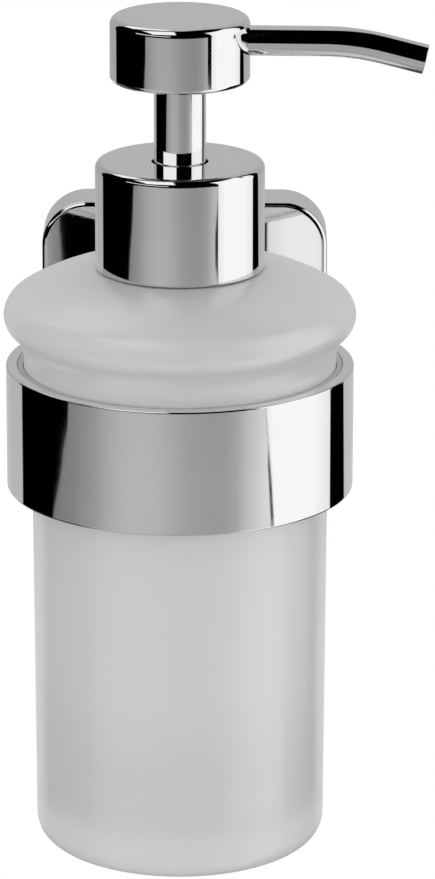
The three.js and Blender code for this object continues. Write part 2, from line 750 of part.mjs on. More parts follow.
function pumpCylinder() {
  const neckSide = socketBore + CYLINDER_WALL;
  return revolve([
    [socketBore, socketBottom],
    [neckSide, socketBottom],
    [neckSide, seatTop],
    [CYLINDER_RADIUS, ledgeLevel - CYLINDER_WALL],
    [CYLINDER_RADIUS, flangeBottom],
    [FLANGE_RADIUS, flangeBottom],
    [FLANGE_RADIUS, cylinderTop],
    [cylinderBore, cylinderTop],
    [cylinderBore, ledgeLevel],
    [INLET_POCKET_RADIUS, ledgeLevel],
    [INLET_POCKET_RADIUS, seatTop],
    [INLET_HOLE_RADIUS, seatBottom],
    [INLET_HOLE_RADIUS, socketTop],
    [socketBore, socketTop],
  ], MEDIUM_ROUND);
}

// Dip tube, its lower end cut slantwise so that it can't seal against the floor
function dipTube() {
  const straight = tube(DIP_RADIUS, DIP_RADIUS - DIP_WALL, dipBottom, dipTop, SMALL_ROUND);
  const wedge = new THREE.BoxGeometry(6 * DIP_RADIUS, 6 * DIP_RADIUS, 6 * DIP_RADIUS)
    .translate(0, 0, -3 * DIP_RADIUS)
    .rotateY(THREE.MathUtils.degToRad(DIP_CUT_DEGREES))
    .translate(0, 0, dipBottom + DIP_RADIUS / 2);
  return cut(straight, [wedge]);
}

// Compression spring: one unbroken helix with a closed skin
function springCentre(turn) {
  const rise = SPRING_LENGTH - 2 * SPRING_WIRE;
  const level = springBottom + SPRING_WIRE + rise * turn / SPRING_TURNS;
  return new THREE.Vector3(...helixPoint(SPRING_RADIUS, level, turn));
}

function pumpSpring() {
  const sections = [];
  for (let step = 0; step <= SPRING_TURNS * SPRING_STEPS; step += 1) {
    const centre = springCentre(step / SPRING_STEPS);
    const outwards = new THREE.Vector3(centre.x, centre.y, 0).normalize();
    sections.push(Array.from({ length: SPRING_SIDES }, (unused, side) => {
      const angle = -2 * Math.PI * side / SPRING_SIDES;
      return [
        centre.x + outwards.x * SPRING_WIRE * Math.cos(angle),
        centre.y + outwards.y * SPRING_WIRE * Math.cos(angle),
        centre.z + SPRING_WIRE * Math.sin(angle),
      ];
    }));
  }
  return skin(sections);
}

// Least distance between the wire's surface and the same wire a turn or more away
function springSelfGap() {
  const points = Array.from({ length: SPRING_TURNS * SPRING_STEPS + 1 }, (unused, step) => (
    springCentre(step / SPRING_STEPS)
  ));
  let least = Infinity;
  points.forEach((point, at) => {
    const others = points.slice(at + SPRING_STEPS / 2);
    others.forEach((other) => {
      least = Math.min(least, point.distanceTo(other));
    });
  });
  return least - 2 * SPRING_WIRE;
}

function piston() {
  const lip = bushRadius - PISTON_LIP;
  return revolve([
    [rodHole, pistonBottom],
    [bushRadius, pistonBottom],
    [bushRadius, pistonBottom + PISTON_LIP],
    [lip, pistonBottom + 2 * PISTON_LIP],
    [lip, pistonTop - 2 * PISTON_LIP],
    [bushRadius, pistonTop - PISTON_LIP],
    [bushRadius, pistonTop],
    [rodHole, pistonTop],
  ], MEDIUM_ROUND);
}

function pistonRod() {
  return revolve([
    [ROD_BORE, rodBottom],
    [ROD_FOOT_RADIUS, rodBottom],
    [ROD_FOOT_RADIUS, rodFootTop],
    [ROD_RADIUS, rodFootTop],
    [ROD_RADIUS, rodTop],
    [ROD_BORE, rodTop],
  ], SMALL_ROUND);
}

function ball(radius) {
  return new THREE.SphereGeometry(radius, TINY_ROUND, TINY_ROUND / 2).rotateX(Math.PI / 2);
}

// The inlet ball touches the seat's 45 degree cone, the outlet ball the rod's bore
function inletBallLevel() {
  const coneTip = seatTop - INLET_POCKET_RADIUS;
  return coneTip + Math.SQRT2 * (INLET_BALL_RADIUS + SEAT_GAP / 2);
}

function outletBallLevel() {
  return rodTop + Math.sqrt(OUTLET_BALL_RADIUS ** 2 - ROD_BORE ** 2) + SEAT_GAP / 2;
}

function headShell() {
  const outline = [
    [headCavity, headBottom],
    ...arc(HEAD_RADIUS - HEAD_FOOT_ROUND, headBottom + HEAD_FOOT_ROUND, HEAD_FOOT_ROUND, -90, 0),
    ...arc(HEAD_RADIUS - HEAD_TOP_ROUND, headTop - HEAD_TOP_ROUND, HEAD_TOP_ROUND, 0, 90),
    [0, headTop],
    [0, headTop - HEAD_ROOF],
    [headCavity, headTop - HEAD_ROOF],
  ];
  return cut(revolve(outline, LARGE_ROUND), [spigotHole()]);
}

// Level hole for the spout's spigot, from the chamber out through core and shell
function spigotHole() {
  return rod(SPIGOT_RADIUS + SEAT_GAP, CHAMBER_RADIUS / 2, HEAD_RADIUS + OVERRUN, SMALL_ROUND)
    .rotateY(Math.PI / 2)
    .translate(0, 0, spoutLevel);
}

function headCore() {
  const sleeveHole = SLEEVE_RADIUS + SEAT_GAP;
  const block = revolve([
    [sleeveHole, coreBottom],
    [coreRadius, coreBottom],
    [coreRadius, coreTop],
    [0, coreTop],
    [0, chamberFloor + CHAMBER_HEIGHT],
    [CHAMBER_RADIUS, chamberFloor + CHAMBER_HEIGHT],
    [CHAMBER_RADIUS, chamberFloor],
    [rodHole, chamberFloor],
    [rodHole, sleeveTop + SEAT_GAP],
    [sleeveHole, sleeveTop + SEAT_GAP],
  ], MEDIUM_ROUND);
  return cut(block, [spigotHole()]);
}

function stemSleeve() {
  return tube(SLEEVE_RADIUS, SLEEVE_RADIUS - SLEEVE_WALL, sleeveBottom, sleeveTop, MEDIUM_ROUND);
}

// The spout's centre line: level at first, then a steady bend down and a straight end
class SpoutLine extends THREE.Curve {
  constructor(from, to) {
    super();
    this.from = from;
    this.to = to;
  }

  getPoint(share, target = new THREE.Vector3()) {
    const distance = THREE.MathUtils.lerp(this.from, this.to, share);
    const past = Math.max(distance - SPOUT_STRAIGHT, 0);
    const turned = Math.min(past / SPOUT_BEND_RADIUS, spoutBend);
    const beyond = past - turned * SPOUT_BEND_RADIUS;
    return target.set(
      distance - past + SPOUT_BEND_RADIUS * Math.sin(turned) + beyond * Math.cos(turned),
      0,
      spoutLevel - SPOUT_BEND_RADIUS * (1 - Math.cos(turned)) - beyond * Math.sin(turned),
    );
  }
}

function spoutRun(radius, from, to) {
  const circle = new THREE.Shape();
  circle.absarc(0, 0, radius, 0, 2 * Math.PI);
  return new THREE.ExtrudeGeometry(circle, {
    steps: SPOUT_STEPS,
    curveSegments: SMALL_ROUND / 2,
    extrudePath: new SpoutLine(from, to),
  });
}

// Bent tube with a thinner spigot that sits in the head's core
function spoutTube() {
  const spigotStart = CHAMBER_RADIUS + SEAT_GAP;
  const shoulder = HEAD_RADIUS + SEAT_GAP;
  const tip = SPOUT_STRAIGHT + SPOUT_BEND_RADIUS * spoutBend + SPOUT_TIP;
  const outside = spoutRun(SPOUT_RADIUS, shoulder, tip);
  const spigot = spoutRun(SPIGOT_RADIUS, spigotStart, shoulder + OVERRUN);
  const spigotBore = spoutRun(SPIGOT_BORE, spigotStart - OVERRUN, shoulder + 2 * OVERRUN);
  const bore = spoutRun(SPOUT_BORE, shoulder + OVERRUN, tip + OVERRUN);
  return cut(join(outside, [spigot]), [spigotBore, bore]);
}

function piece(name, geometry, finish) {
  const mesh = new THREE.Mesh(geometry, new THREE.MeshStandardMaterial(finish));
  mesh.name = name;
  return mesh;
}

// Pieces that stay on the wall
const holder = new THREE.Group();
holder.add(piece('wall_bracket', wallBracket(), ZINC));
holder.add(piece('plate_cover', plateCover(), CHROME));
holder.add(piece('arm_screw', armScrew(), STEEL));
holder.add(piece('grub_screw', grubScrew(), STEEL));
holder.add(piece('holder_arm', holderArm(), CHROME));
wallScrewPlaces().forEach((across, at) => {
  const side = ['left', 'right'][at];
  const screw = piece(`wall_screw_${side}`, wallScrew(), STEEL);
  const plug = piece(`wall_plug_${side}`, wallPlug(), GREY_NYLON);
  screw.position.x = across;
  plug.position.x = across;
  holder.add(screw, plug);
});

// Pieces about the bottle's axis, with z = 0 at the ring's top edge
const bottleAxis = new THREE.Group();
bottleAxis.position.set(0, -wallToAxis, RING_HEIGHT / 2 + RING_RISE);
bottleAxis.add(piece('holder_ring', holderRing(), CHROME));
bottleAxis.add(piece('ring_screw', ringScrew(), STEEL));
bottleAxis.add(piece('ring_liner', ringLiner(), CLEAR_PLASTIC));
bottleAxis.add(piece('glass_bottle', glassBottle(), FROSTED_GLASS));
bottleAxis.add(piece('neck_gasket', neckGasket(), SEAL_RUBBER));
bottleAxis.add(piece('pump_cylinder', pumpCylinder(), WHITE_PLASTIC));
bottleAxis.add(piece('guide_bush', guideBush(), BLACK_PLASTIC));
bottleAxis.add(piece('dip_tube', dipTube(), CLEAR_PLASTIC));
bottleAxis.add(piece('pump_spring', pumpSpring(), STEEL));
bottleAxis.add(piece('threaded_cap', threadedCap(), WHITE_PLASTIC));
bottleAxis.add(piece('collar_shell', collarShell(), CHROME));
bottleAxis.add(piece('piston_seal', piston(), WHITE_PLASTIC));
bottleAxis.add(piece('piston_rod', pistonRod(), WHITE_PLASTIC));

const inletBall = piece('inlet_ball', ball(INLET_BALL_RADIUS), STEEL);
inletBall.position.z = inletBallLevel();
const outletBall = piece('outlet_ball', ball(OUTLET_BALL_RADIUS), STEEL);
outletBall.position.z = outletBallLevel();
bottleAxis.add(inletBall, outletBall);

// The head points its spout to the right and a little towards the room
const head = new THREE.Group();
head.rotation.z = THREE.MathUtils.degToRad(SPOUT_TURN_DEGREES);
head.add(piece('stem_sleeve', stemSleeve(), CHROME));
head.add(piece('head_shell', headShell(), CHROME));
head.add(piece('head_core', headCore(), BLACK_PLASTIC));
head.add(piece('spout_tube', spoutTube(), CHROME));
bottleAxis.add(head);

console.log(`least gap between the spring's turns: ${springSelfGap().toFixed(2)} mm`);

const soapDispenser = new THREE.Group();
soapDispenser.add(holder, bottleAxis);

export default soapDispenser;
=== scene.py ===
import json
import math
from functools import partial
from itertools import pairwise

import bmesh
import bpy
from mathutils import Matrix, Vector


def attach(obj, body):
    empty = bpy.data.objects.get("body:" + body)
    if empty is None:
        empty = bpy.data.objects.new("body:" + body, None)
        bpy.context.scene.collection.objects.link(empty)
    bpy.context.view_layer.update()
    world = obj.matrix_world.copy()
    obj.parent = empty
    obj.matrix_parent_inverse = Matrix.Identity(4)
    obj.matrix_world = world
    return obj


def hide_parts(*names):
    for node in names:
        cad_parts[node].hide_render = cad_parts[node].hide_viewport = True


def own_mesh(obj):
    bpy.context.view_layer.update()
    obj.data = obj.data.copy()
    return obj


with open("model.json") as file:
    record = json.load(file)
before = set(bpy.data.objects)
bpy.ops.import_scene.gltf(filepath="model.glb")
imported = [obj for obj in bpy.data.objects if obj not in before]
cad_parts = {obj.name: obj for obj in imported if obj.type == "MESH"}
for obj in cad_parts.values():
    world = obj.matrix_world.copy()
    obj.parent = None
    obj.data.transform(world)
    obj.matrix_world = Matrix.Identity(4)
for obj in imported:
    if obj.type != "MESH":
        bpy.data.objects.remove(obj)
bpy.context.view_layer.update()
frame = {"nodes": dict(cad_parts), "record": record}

# Blender works in metres; the sizes below are in millimetres and degrees
MM = 0.001
DOUBLES = 0.004 * MM

# Facets of turned pieces, of round corners and of eased edges
LARGE_SIDES = 160
MEDIUM_SIDES = 144
SMALL_SIDES = 72
CORNER_STEPS = 28
EDGE_STEPS = 12
SMOOTH_ANGLE = 32

# Upright axis of the bottle; turned pieces measure their levels over the ring's top edge
AXIS = Vector((0, -84, 16.4)) * MM

# Wall plate, arm and ring
PLATE_SIDE = 63
PLATE_CORNER = 10
PLATE_DEPTH = 12
PLATE_WALL = 2
PLATE_EDGE_ROUND = 1.2
BRACKET_SIDE = 58.4
BRACKET_CORNER = 8
BRACKET_DEPTH = 6
BRACKET_FLOOR = 2.7
ARM_WIDTH = 20
ARM_HEIGHT = 14
ARM_CORNER = 3
RING_RADIUS = 36
RING_BORE = 33.65
RING_HEIGHT = 26.2
RING_LIP = 1.2
RING_LIP_BORE = 31.2
LINER_RADIUS = 33.6
LINER_BORE = 32.52

# Clearance between parts, and how far a cutting tool runs past a face
GAP = 0.3
OVERRUN = 2

# Screws of the holder and the wall plugs
WALL_SCREW_PLACES = {"left": -17, "right": 17}
WALL_SCREW_RADIUS = 2
WALL_SCREW_HEAD = 4.1
WALL_SCREW_LENGTH = 34
ARM_SCREW_RADIUS = 2
ARM_SCREW_HEAD = 3.9
ARM_SCREW_HEAD_HEIGHT = 2.4
ARM_SCREW_LENGTH = 13
ARM_SCREW_POCKET = 4.8
RING_SCREW_PLACE = AXIS / MM + Vector((0, 33.95, -16.4))
RING_SCREW_RADIUS = 1.7
RING_SCREW_HEAD = 3
RING_SCREW_LENGTH = 10
GRUB_PLACE = (0, -3, -31.5)
GRUB_RADIUS = 2
GRUB_LENGTH = 4.6
SCREW_HOLE_RADIUS = 2.3
HEX_RADIUS = 1.2
HEX_DEPTH = 1.5
CROSS_WIDTH = 0.9
CROSS_DEPTH = 1.6
PLUG_LENGTH = 36
PLUG_BORE = 2.3
PLUG_RIM_RADIUS = 4.15
PLUG_RIM = 1.1
PLUG_BARBS = 5
BARB_PITCH = 6.92
BARB_LENGTH = 6.2
SLIT_WIDTH = 0.8
SLIT_START = 12

# Bottle and pump; levels are over the ring's top edge
BOTTLE_FOOT = -104.07
BOTTLE_FLOOR = -95.57
STEP_LEVEL = -23.5
SHOULDER_LEVEL = 20.35
NECK_RADIUS = 13.4
NECK_BORE = 10.6
NECK_TOP = 33.32
CYLINDER_RADIUS = 9.4
CYLINDER_BORE = 7.9
FLANGE_RADIUS = 12.9
PISTON_RADIUS = 7.6
GUIDE_BORE = 5.78
ROD_RADIUS = 3.5
ROD_BORE = 1.5
ROD_HOLE = 3.8
SLEEVE_RADIUS = 5.33
SLEEVE_BORE = 4.33
DIP_TUBE_RADIUS = 3.2
DIP_TUBE_BORE = 2.3
DIP_TUBE_SLANT = 30

# Collar, cap and head
COLLAR_RADIUS = 17.42
COLLAR_BORE = 16.42
COLLAR_FOOT = 20.65
COLLAR_TOP = 42.92
COLLAR_ROOF = 41.42
CAP_RADIUS = 16.12
CAP_BORE = 14.85
HEAD_RADIUS = 14.3
HEAD_BORE = 12.4
HEAD_FOOT = 59.83
HEAD_TOP = 73.18
HEAD_ROOF = 71.78
CORE_RADIUS = 12.1
CHANNEL_RADIUS = 2.5

# Spout
SPOUT_TURN = -2
SPOUT_RADIUS = 3.07
SPOUT_BORE = 2.35
SPOUT_LEVEL = 68.19
SPOUT_START = 13.4
SPOUT_STRAIGHT = 29.2
SPOUT_BEND_RADIUS = 52
SPOUT_BEND = 14
SPOUT_TIP = 8.4

# Thread of neck and cap: level and widths of its ridge where it starts
THREAD_PITCH = 4
THREAD_LEVEL = 23.95
THREAD_BASE = 1.9
THREAD_CREST = 0.9

# Pump spring
SPRING_RADIUS = 5.5
SPRING_WIRE = 0.55
SPRING_SIDES = 12
SPRING_STEPS = 36
SPRING_FOOT = -14.68
SPRING_LENGTH = 24
SPRING_TURNS = 6

# Camera, with its distance in metres, and the turns that put the bottle where the photo has it
CAMERA_TURN = 0.8
CAMERA_RISE = 16.53
CAMERA_DISTANCE = 1.0245
CAMERA_LENS = 202.5
CAMERA_AIM_ASIDE = -0.435
CAMERA_AIM_DOWN = -0.904

# Floor, in metres
FLOOR_LEVEL = -0.32
FLOOR_SIZE = 6

# Light of the studio: what all surfaces get, what mirrors see, and where its own floor starts
SOFT_LIGHT = 1.08
OVERHEAD_LOSS = 0.52
MIRRORED_SHARE = 0.8
STRIP_LIGHT = 1.3
ROOM_FLOOR_LIGHT = 0.42
ROOM_FLOOR_TILT = -58


# Shader sockets

class Socket:
    """A shader socket that can be used in a sum like a number."""

    def __init__(self, sheet, link):
        self.sheet = sheet
        self.link = link

    def reckon(self, operation, *values):
        return self.sheet.add("ShaderNodeMath", {"operation": operation}, dict(enumerate(values)))

    def outputs(self):
        return [Socket(self.sheet, output) for output in self.link.node.outputs]

    def __add__(self, other):
        return self.reckon("ADD", self, other)

    def __radd__(self, other):
        return self.reckon("ADD", other, self)

    def __sub__(self, other):
        return self.reckon("SUBTRACT", self, other)

    def __rsub__(self, other):
        return self.reckon("SUBTRACT", other, self)

    def __mul__(self, other):
        return self.reckon("MULTIPLY", self, other)

    def __rmul__(self, other):
        return self.reckon("MULTIPLY", other, self)

    def step(self, at, soft):
        """Rises smoothly from 0 to 1 where this value passes a level."""
        sockets = {"Value": self, "From Min": at - soft / 2, "From Max": at + soft / 2}
        return self.sheet.add("ShaderNodeMapRange", {"interpolation_type": "SMOOTHSTEP"}, sockets)

    def within(self, low, high, soft):
        """1 between two levels and 0 outside them."""
        return self.step(low, soft) - self.step(high, soft)

    def along(self, *stops):
        """Straight lines through (value, result) stops, and level beyond them."""
        total = stops[0][1]
        for (low, start), (high, end) in pairwise(stops):
            sockets = {"Value": self, "From Min": low, "From Max": high, "To Max": end - start}
            total = total + self.sheet.add("ShaderNodeMapRange", {}, sockets)
        return total

    def spread(self, low, high):
        """Stretches a value from 0..1 to low..high."""
        return low + self * (high - low)


class Sheet:
    """A node tree that is written from empty."""

    def __init__(self, tree):
        tree.nodes.clear()
        self.tree = tree

    def add(self, kind, settings=None, sockets=None, output=0):
        """Adds a node with its settings, then its sockets' values or links; gives one output."""
        node = self.tree.nodes.new(kind)
        for name, value in (settings or {}).items():
            setattr(node, name, value)
        for name, value in (sockets or {}).items():
            if isinstance(value, Socket):
                self.tree.links.new(value.link, node.inputs[name])
            else:
                node.inputs[name].default_value = value
        return Socket(self, node.outputs[output]) if node.outputs else None

    def place(self):
        """Object coordinates, in metres."""
        return self.add("ShaderNodeTexCoord", output="Object")

    def noise(self, size, detail=2.0, stretch=(1, 1, 1)):
        """Noise from 0 to 1 whose features are about size millimetres across."""
        settings = {"operation": "MULTIPLY"}
        vector = self.add("ShaderNodeVectorMath", settings, {0: self.place(), 1: stretch})
        sockets = {"Vector": vector, "Scale": 1 / (size * MM), "Detail": detail}
        return self.add("ShaderNodeTexNoise", {}, sockets)

    def bump(self, height, depth):
        """Normal of a surface that is raised by up to depth millimetres."""
        return self.add("ShaderNodeBump", {}, {"Height": height, "Distance": depth * MM})

    def tint(self, share, first, second):
        """Colour between two colours."""
        sockets = {0: share, 6: (*first, 1), 7: (*second, 1)}
        return self.add("ShaderNodeMix", {"data_type": "RGBA"}, sockets, output=2)

    def surface(self, **sockets):
        """Finishes a material with a principled shader, an underscore for each space in a name."""
        named = {name.replace("_", " "): value for name, value in sockets.items()}
        shader = self.add("ShaderNodeBsdfPrincipled", {}, named)
        self.add("ShaderNodeOutputMaterial", {}, {"Surface": shader})


def material_sheet(name):
    """A new material and the sheet that its nodes are written on."""
    material = bpy.data.materials.new(name)
    material.use_nodes = True
    return material, Sheet(material.node_tree)


# Finishes

def chrome():
    """Polished chrome plate: a clean mirror with faint waves and a breath of haze."""
    material, sheet = material_sheet("chrome")
    sheet.surface(
        Base_Color=sheet.tint(sheet.noise(9), (0.865, 0.867, 0.872), (0.885, 0.887, 0.892)),
        Metallic=1.0,
        Roughness=sheet.noise(1.2, detail=4).spread(0.02, 0.05),
        Normal=sheet.bump(sheet.noise(16, detail=1), 0.012),
    )
    return material


def cast_zinc():
    """Bare die-cast zinc: grey, a little grainy."""
    material, sheet = material_sheet("zinc")
    grain = sheet.noise(0.6, detail=5)
    sheet.surface(
        Base_Color=sheet.tint(sheet.noise(7, detail=3), (0.52, 0.53, 0.54), (0.66, 0.67, 0.68)),
        Metallic=0.9,
        Roughness=grain.spread(0.32, 0.55),
        Normal=sheet.bump(grain, 0.03),
    )
    return material


def turned_steel():
    """Bright stainless steel with fine turning marks."""
    material, sheet = material_sheet("steel")
    marks = sheet.noise(0.35, detail=3, stretch=(0.2, 0.2, 1))
    sheet.surface(
        Base_Color=sheet.tint(marks, (0.64, 0.64, 0.65), (0.74, 0.74, 0.75)),
        Metallic=1.0,
        Roughness=marks.spread(0.18, 0.34),
        Normal=sheet.bump(marks, 0.01),
    )
    return material


def grey_nylon():
    """Moulded nylon with a fine eroded texture."""
    material, sheet = material_sheet("nylon")
    grain = sheet.noise(0.4, detail=4)
    sheet.surface(
        Base_Color=sheet.tint(sheet.noise(5), (0.3, 0.31, 0.32), (0.35, 0.36, 0.37)),
        Roughness=grain.spread(0.5, 0.65),
        Normal=sheet.bump(grain, 0.02),
    )
    return material


def clear_plastic():
    """Natural polypropylene, cloudy rather than clear."""
    material, sheet = material_sheet("clear_plastic")
    cloud = sheet.noise(6, detail=3)
    sheet.surface(
        Base_Color=sheet.tint(cloud, (0.86, 0.88, 0.88), (0.92, 0.93, 0.93)),
        Roughness=cloud.spread(0.3, 0.42),
        IOR=1.49,
        Transmission_Weight=0.35,
    )
    return material


def frosted_glass():
    """Glass frosted outside by acid: bright, milky and silky, with painted shade in its colour."""
    material, sheet = material_sheet("frosted_glass")
    frost = sheet.noise(0.5, detail=5)

    # Levels in millimetres: the foot is at -88, the ring from -10 to 16, the bulge at 27
    level = sheet.add("ShaderNodeSeparateXYZ", {}, {0: sheet.place()}, output=2) * (1 / MM)
    # Painted shade: the colour is darker just over the hollow's foot than over the solid base, and
    # darker on the bulge's top
    painted_shade_bands = level.along((-80, 0), (-76, 1), (-64, 1), (-48, 0), (16, 0), (24, 0.9))
    # A random cloudy tone mixed with that painted shade
    milk_and_painted_shade = sheet.noise(30, detail=1) * 0.2 + painted_shade_bands * 0.8
    sheet.surface(
        Base_Color=sheet.tint(milk_and_painted_shade, (0.97, 0.97, 0.97), (0.89, 0.89, 0.89)),
        Roughness=frost.spread(0.34, 0.4),
        IOR=1.5,
        Transmission_Weight=0.1,
        Coat_Weight=level.along((-79, 0.35), (-73, 1), (12, 1), (26, 0.6)),
        Coat_IOR=1.9,
        Coat_Roughness=0.26,
        Sheen_Weight=0.25,
        Sheen_Roughness=0.4,
        Normal=sheet.bump(frost, 0.004),
    )
    return material


def seal_rubber():
    """Soft black sealing rubber."""
    material, sheet = material_sheet("rubber")
    grain = sheet.noise(0.8, detail=4)
    sheet.surface(
        Base_Color=sheet.tint(grain, (0.025, 0.025, 0.025), (0.04, 0.04, 0.04)),
        Roughness=grain.spread(0.65, 0.8),
        Normal=sheet.bump(grain, 0.02),
    )
    return material


def white_plastic():
    """Moulded white polypropylene."""
    material, sheet = material_sheet("white_plastic")
    flow = sheet.noise(8, detail=3)
    sheet.surface(
        Base_Color=sheet.tint(flow, (0.79, 0.79, 0.77), (0.84, 0.84, 0.82)),
        Roughness=flow.spread(0.28, 0.4),
        Normal=sheet.bump(sheet.noise(0.5, detail=3), 0.004),
    )
    return material


def black_plastic():
    """Moulded black plastic with a satin skin."""
    material, sheet = material_sheet("black_plastic")
    grain = sheet.noise(0.5, detail=4)
    sheet.surface(
        Base_Color=sheet.tint(grain, (0.01, 0.01, 0.011), (0.016, 0.016, 0.017)),
        Roughness=grain.spread(0.38, 0.52),
        Normal=sheet.bump(grain, 0.008),
    )
    return material


# Modelling by hand

def opened(add, **settings):
    """Adds a primitive with nothing else selected and opens it, its place kept in its mesh."""
    bpy.ops.object.select_all(action="DESELECT")
    add(**settings)
    bpy.ops.object.transform_apply()
    bpy.ops.object.mode_set(mode="EDIT")
    bpy.ops.mesh.select_mode(type="VERT")
    bpy.ops.mesh.select_all(action="SELECT")
    return bpy.context.object


def picked(piece, kind, test):
    """Selects only the faces, edges or verts of the opened piece that pass a test."""
    bpy.ops.mesh.select_mode(type=kind.upper())
    bpy.ops.mesh.select_all(action="DESELECT")
    mesh = bmesh.from_edit_mesh(piece.data)
    parts = {"vert": mesh.verts, "edge": mesh.edges, "face": mesh.faces}[kind]
    for part in parts:
        if test(part):
            part.select_set(True)
    bmesh.update_edit_mesh(piece.data)


def shut(piece, name):
    """Merges doubles, turns the faces outwards and leaves edit mode."""
    bpy.ops.mesh.select_all(action="SELECT")
    bpy.ops.mesh.remove_doubles(threshold=DOUBLES)
    bpy.ops.mesh.normals_make_consistent(inside=False)
    bpy.ops.object.mode_set(mode="OBJECT")
    piece.name = piece.data.name = name
    return piece


def applied(piece, kind, **settings):
    """Adds a modifier, sets it and applies it."""
    modifier = piece.modifiers.new(kind.lower(), kind)
    for name, value in settings.items():
        setattr(modifier, name, value)
    bpy.context.view_layer.objects.active = piece
    bpy.ops.object.modifier_apply(modifier=modifier.name)
    return piece


def cut_by(piece, tool):
    """Cuts a closed tool out of a piece and removes the tool."""
    applied(piece, "BOOLEAN", object=tool, operation="DIFFERENCE", solver="EXACT")
    bpy.data.objects.remove(tool)
    return piece


def joined(piece, other):
    """Makes two closed pieces one. The exact solver would turn the hollow bottle inside out."""
    applied(piece, "BOOLEAN", object=other, operation="UNION", solver="MANIFOLD")
    bpy.data.objects.remove(other)
    return piece


def polished(piece):
    """Smooth shading but for sharp edges, with large faces kept flat."""
    bpy.ops.object.select_all(action="DESELECT")
    piece.select_set(True)
    bpy.context.view_layer.objects.active = piece
    bpy.ops.object.shade_smooth_by_angle(angle=math.radians(SMOOTH_ANGLE))
    return applied(piece, "WEIGHTED_NORMAL", keep_sharp=True, weight=60)


def moved(piece, matrix):
    """Carries a piece that was made about the origin to its place, which is kept in its mesh."""
    bpy.ops.object.select_all(action="DESELECT")
    piece.select_set(True)
    bpy.context.view_layer.objects.active = piece
    piece.matrix_world = matrix
    bpy.ops.object.transform_apply()
    return piece


def on_axis(piece, turn=0.0):
    """Moves a piece to the bottle's axis, turned by some degrees."""
    return moved(piece, Matrix.Translation(AXIS) @ Matrix.Rotation(math.radians(turn), 4, "Z"))


def set_in(piece, place, quarters):
    """Turns a piece by quarters about X, then moves it to a place in millimetres.

    One quarter turns its top towards the room, three towards the wall and two towards the ground.
    """
    turn = Matrix.Rotation(quarters * math.pi / 2, 4, "X")
    return moved(piece, Matrix.Translation(Vector(place) * MM) @ turn)


def eased(outline, steps=6):
    """Rounds each corner of a closed outline of (radius, level, round) points."""
    corners = [(Vector(point[:2]), *point[2:]) for point in outline]
    points = []
    for at, (corner, *rounding) in enumerate(corners):
        if not rounding:
            points.append(corner)
            continue
        before = (corners[at - 1][0] - corner).normalized()
        after = (corners[(at + 1) % len(corners)][0] - corner).normalized()
        half = before.angle(after) / 2
        centre = corner + (before + after).normalized() * rounding[0] / math.sin(half)
        start = corner + before * rounding[0] / math.tan(half) - centre
        sweep = math.copysign(math.pi - 2 * half, before.cross(after))
        for step in range(steps + 1):
            points.append(centre + Matrix.Rotation(-sweep * step / steps, 2) @ start)
    return points


def drawn(route):
    """Draws a route of points with single edges and leaves it open for editing."""
    piece = opened(bpy.ops.mesh.primitive_plane_add, size=MM, location=route[0])
    bpy.ops.mesh.merge(type="CENTER")
    for here, there in pairwise(route):
        bpy.ops.mesh.extrude_vertices_move(TRANSFORM_OT_translate={"value": there - here})
    bpy.ops.mesh.select_all(action="SELECT")
    bpy.ops.mesh.remove_doubles(threshold=DOUBLES)
    return piece


def lathed(name, outline, sides=LARGE_SIDES, steps=6):
    """Draws an outline of (radius, level, round) points in millimetres and spins it about +Z."""
    points = [Vector((radius, 0, level)) * MM for radius, level in eased(outline, steps)]
    on_the_axis = points[0].x == 0 and points[-1].x == 0
    piece = drawn(points if on_the_axis else points + points[:1])
    bpy.ops.mesh.spin(steps=sides, angle=2 * math.pi, center=(0, 0, 0), axis=(0, 0, 1))
    return shut(piece, name)


def turned(name, outline, sides=LARGE_SIDES, steps=6):
    """A lathed piece on the bottle's axis."""
    return on_axis(lathed(name, outline, sides, steps))


def wound(name, section, pitch, turns, steps):
    """Winds a closed section of (radius, level) points about +Z and closes its two ends."""
    points = [Vector((radius, 0, level)) * MM for radius, level in section]
    piece = shut(drawn(points + points[:1]), name)
    applied(
        piece, "SCREW", angle=2 * math.pi * turns, screw_offset=pitch * turns * MM,
        steps=steps, render_steps=steps, use_merge_vertices=False,
    )
    bpy.ops.object.mode_set(mode="EDIT")
    bpy.ops.mesh.select_all(action="SELECT")
    bpy.ops.mesh.fill_holes(sides=0)
    return shut(piece, name)


def thread_ridge(root, crest, turns, steps):
    """Ridge of the thread, wound between the radii of its root and its crest."""
    section = [
        (root, THREAD_LEVEL - THREAD_BASE / 2),
        (crest, THREAD_LEVEL - THREAD_CREST / 2),
        (crest, THREAD_LEVEL + THREAD_CREST / 2),
        (root, THREAD_LEVEL + THREAD_BASE / 2),
    ]
    return wound("ridge", section, THREAD_PITCH, turns, steps)


def pin(radius, start, end, place, quarters, sides=SMALL_SIDES):
    """Round tool for cutting a hole, from start to end along its own axis."""
    tool = opened(
        bpy.ops.mesh.primitive_cylinder_add,
        vertices=sides,
        radius=radius * MM,
        depth=(end - start) * MM,
        location=(0, 0, (start + end) / 2 * MM),
    )
    return set_in(shut(tool, "pin"), place, quarters)


def countersink(head, shank, depth, sides):
    """Tool for a countersunk screw's hole, a gap wider than the screw, with its face at level 0."""
    return lathed("sink", [
        (0, -depth),
        (shank + GAP, -depth),
        (shank + GAP, shank - head - GAP),
        (head + GAP, -GAP),
        (head + GAP, OVERRUN),
        (0, OVERRUN),
    ], sides=sides)


def bar(width, depth, height, corner, place):
    """Block whose edges along Y are rounded."""
    block = opened(
        bpy.ops.mesh.primitive_cube_add,
        size=MM,
        scale=(width, depth, height),
        location=Vector(place) * MM,
    )
    picked(block, "edge", lambda edge: abs(edge.verts[0].co.y - edge.verts[1].co.y) > MM)
    bpy.ops.mesh.bevel(offset=corner * MM, segments=CORNER_STEPS, affect="EDGES")
    return block


def eased_edges(piece, width, angle=40):
    """Breaks every sharp edge a little."""
    return applied(
        piece, "BEVEL", width=width * MM, segments=3, limit_method="ANGLE",
        angle_limit=math.radians(angle),
    )


# Pieces of the holder

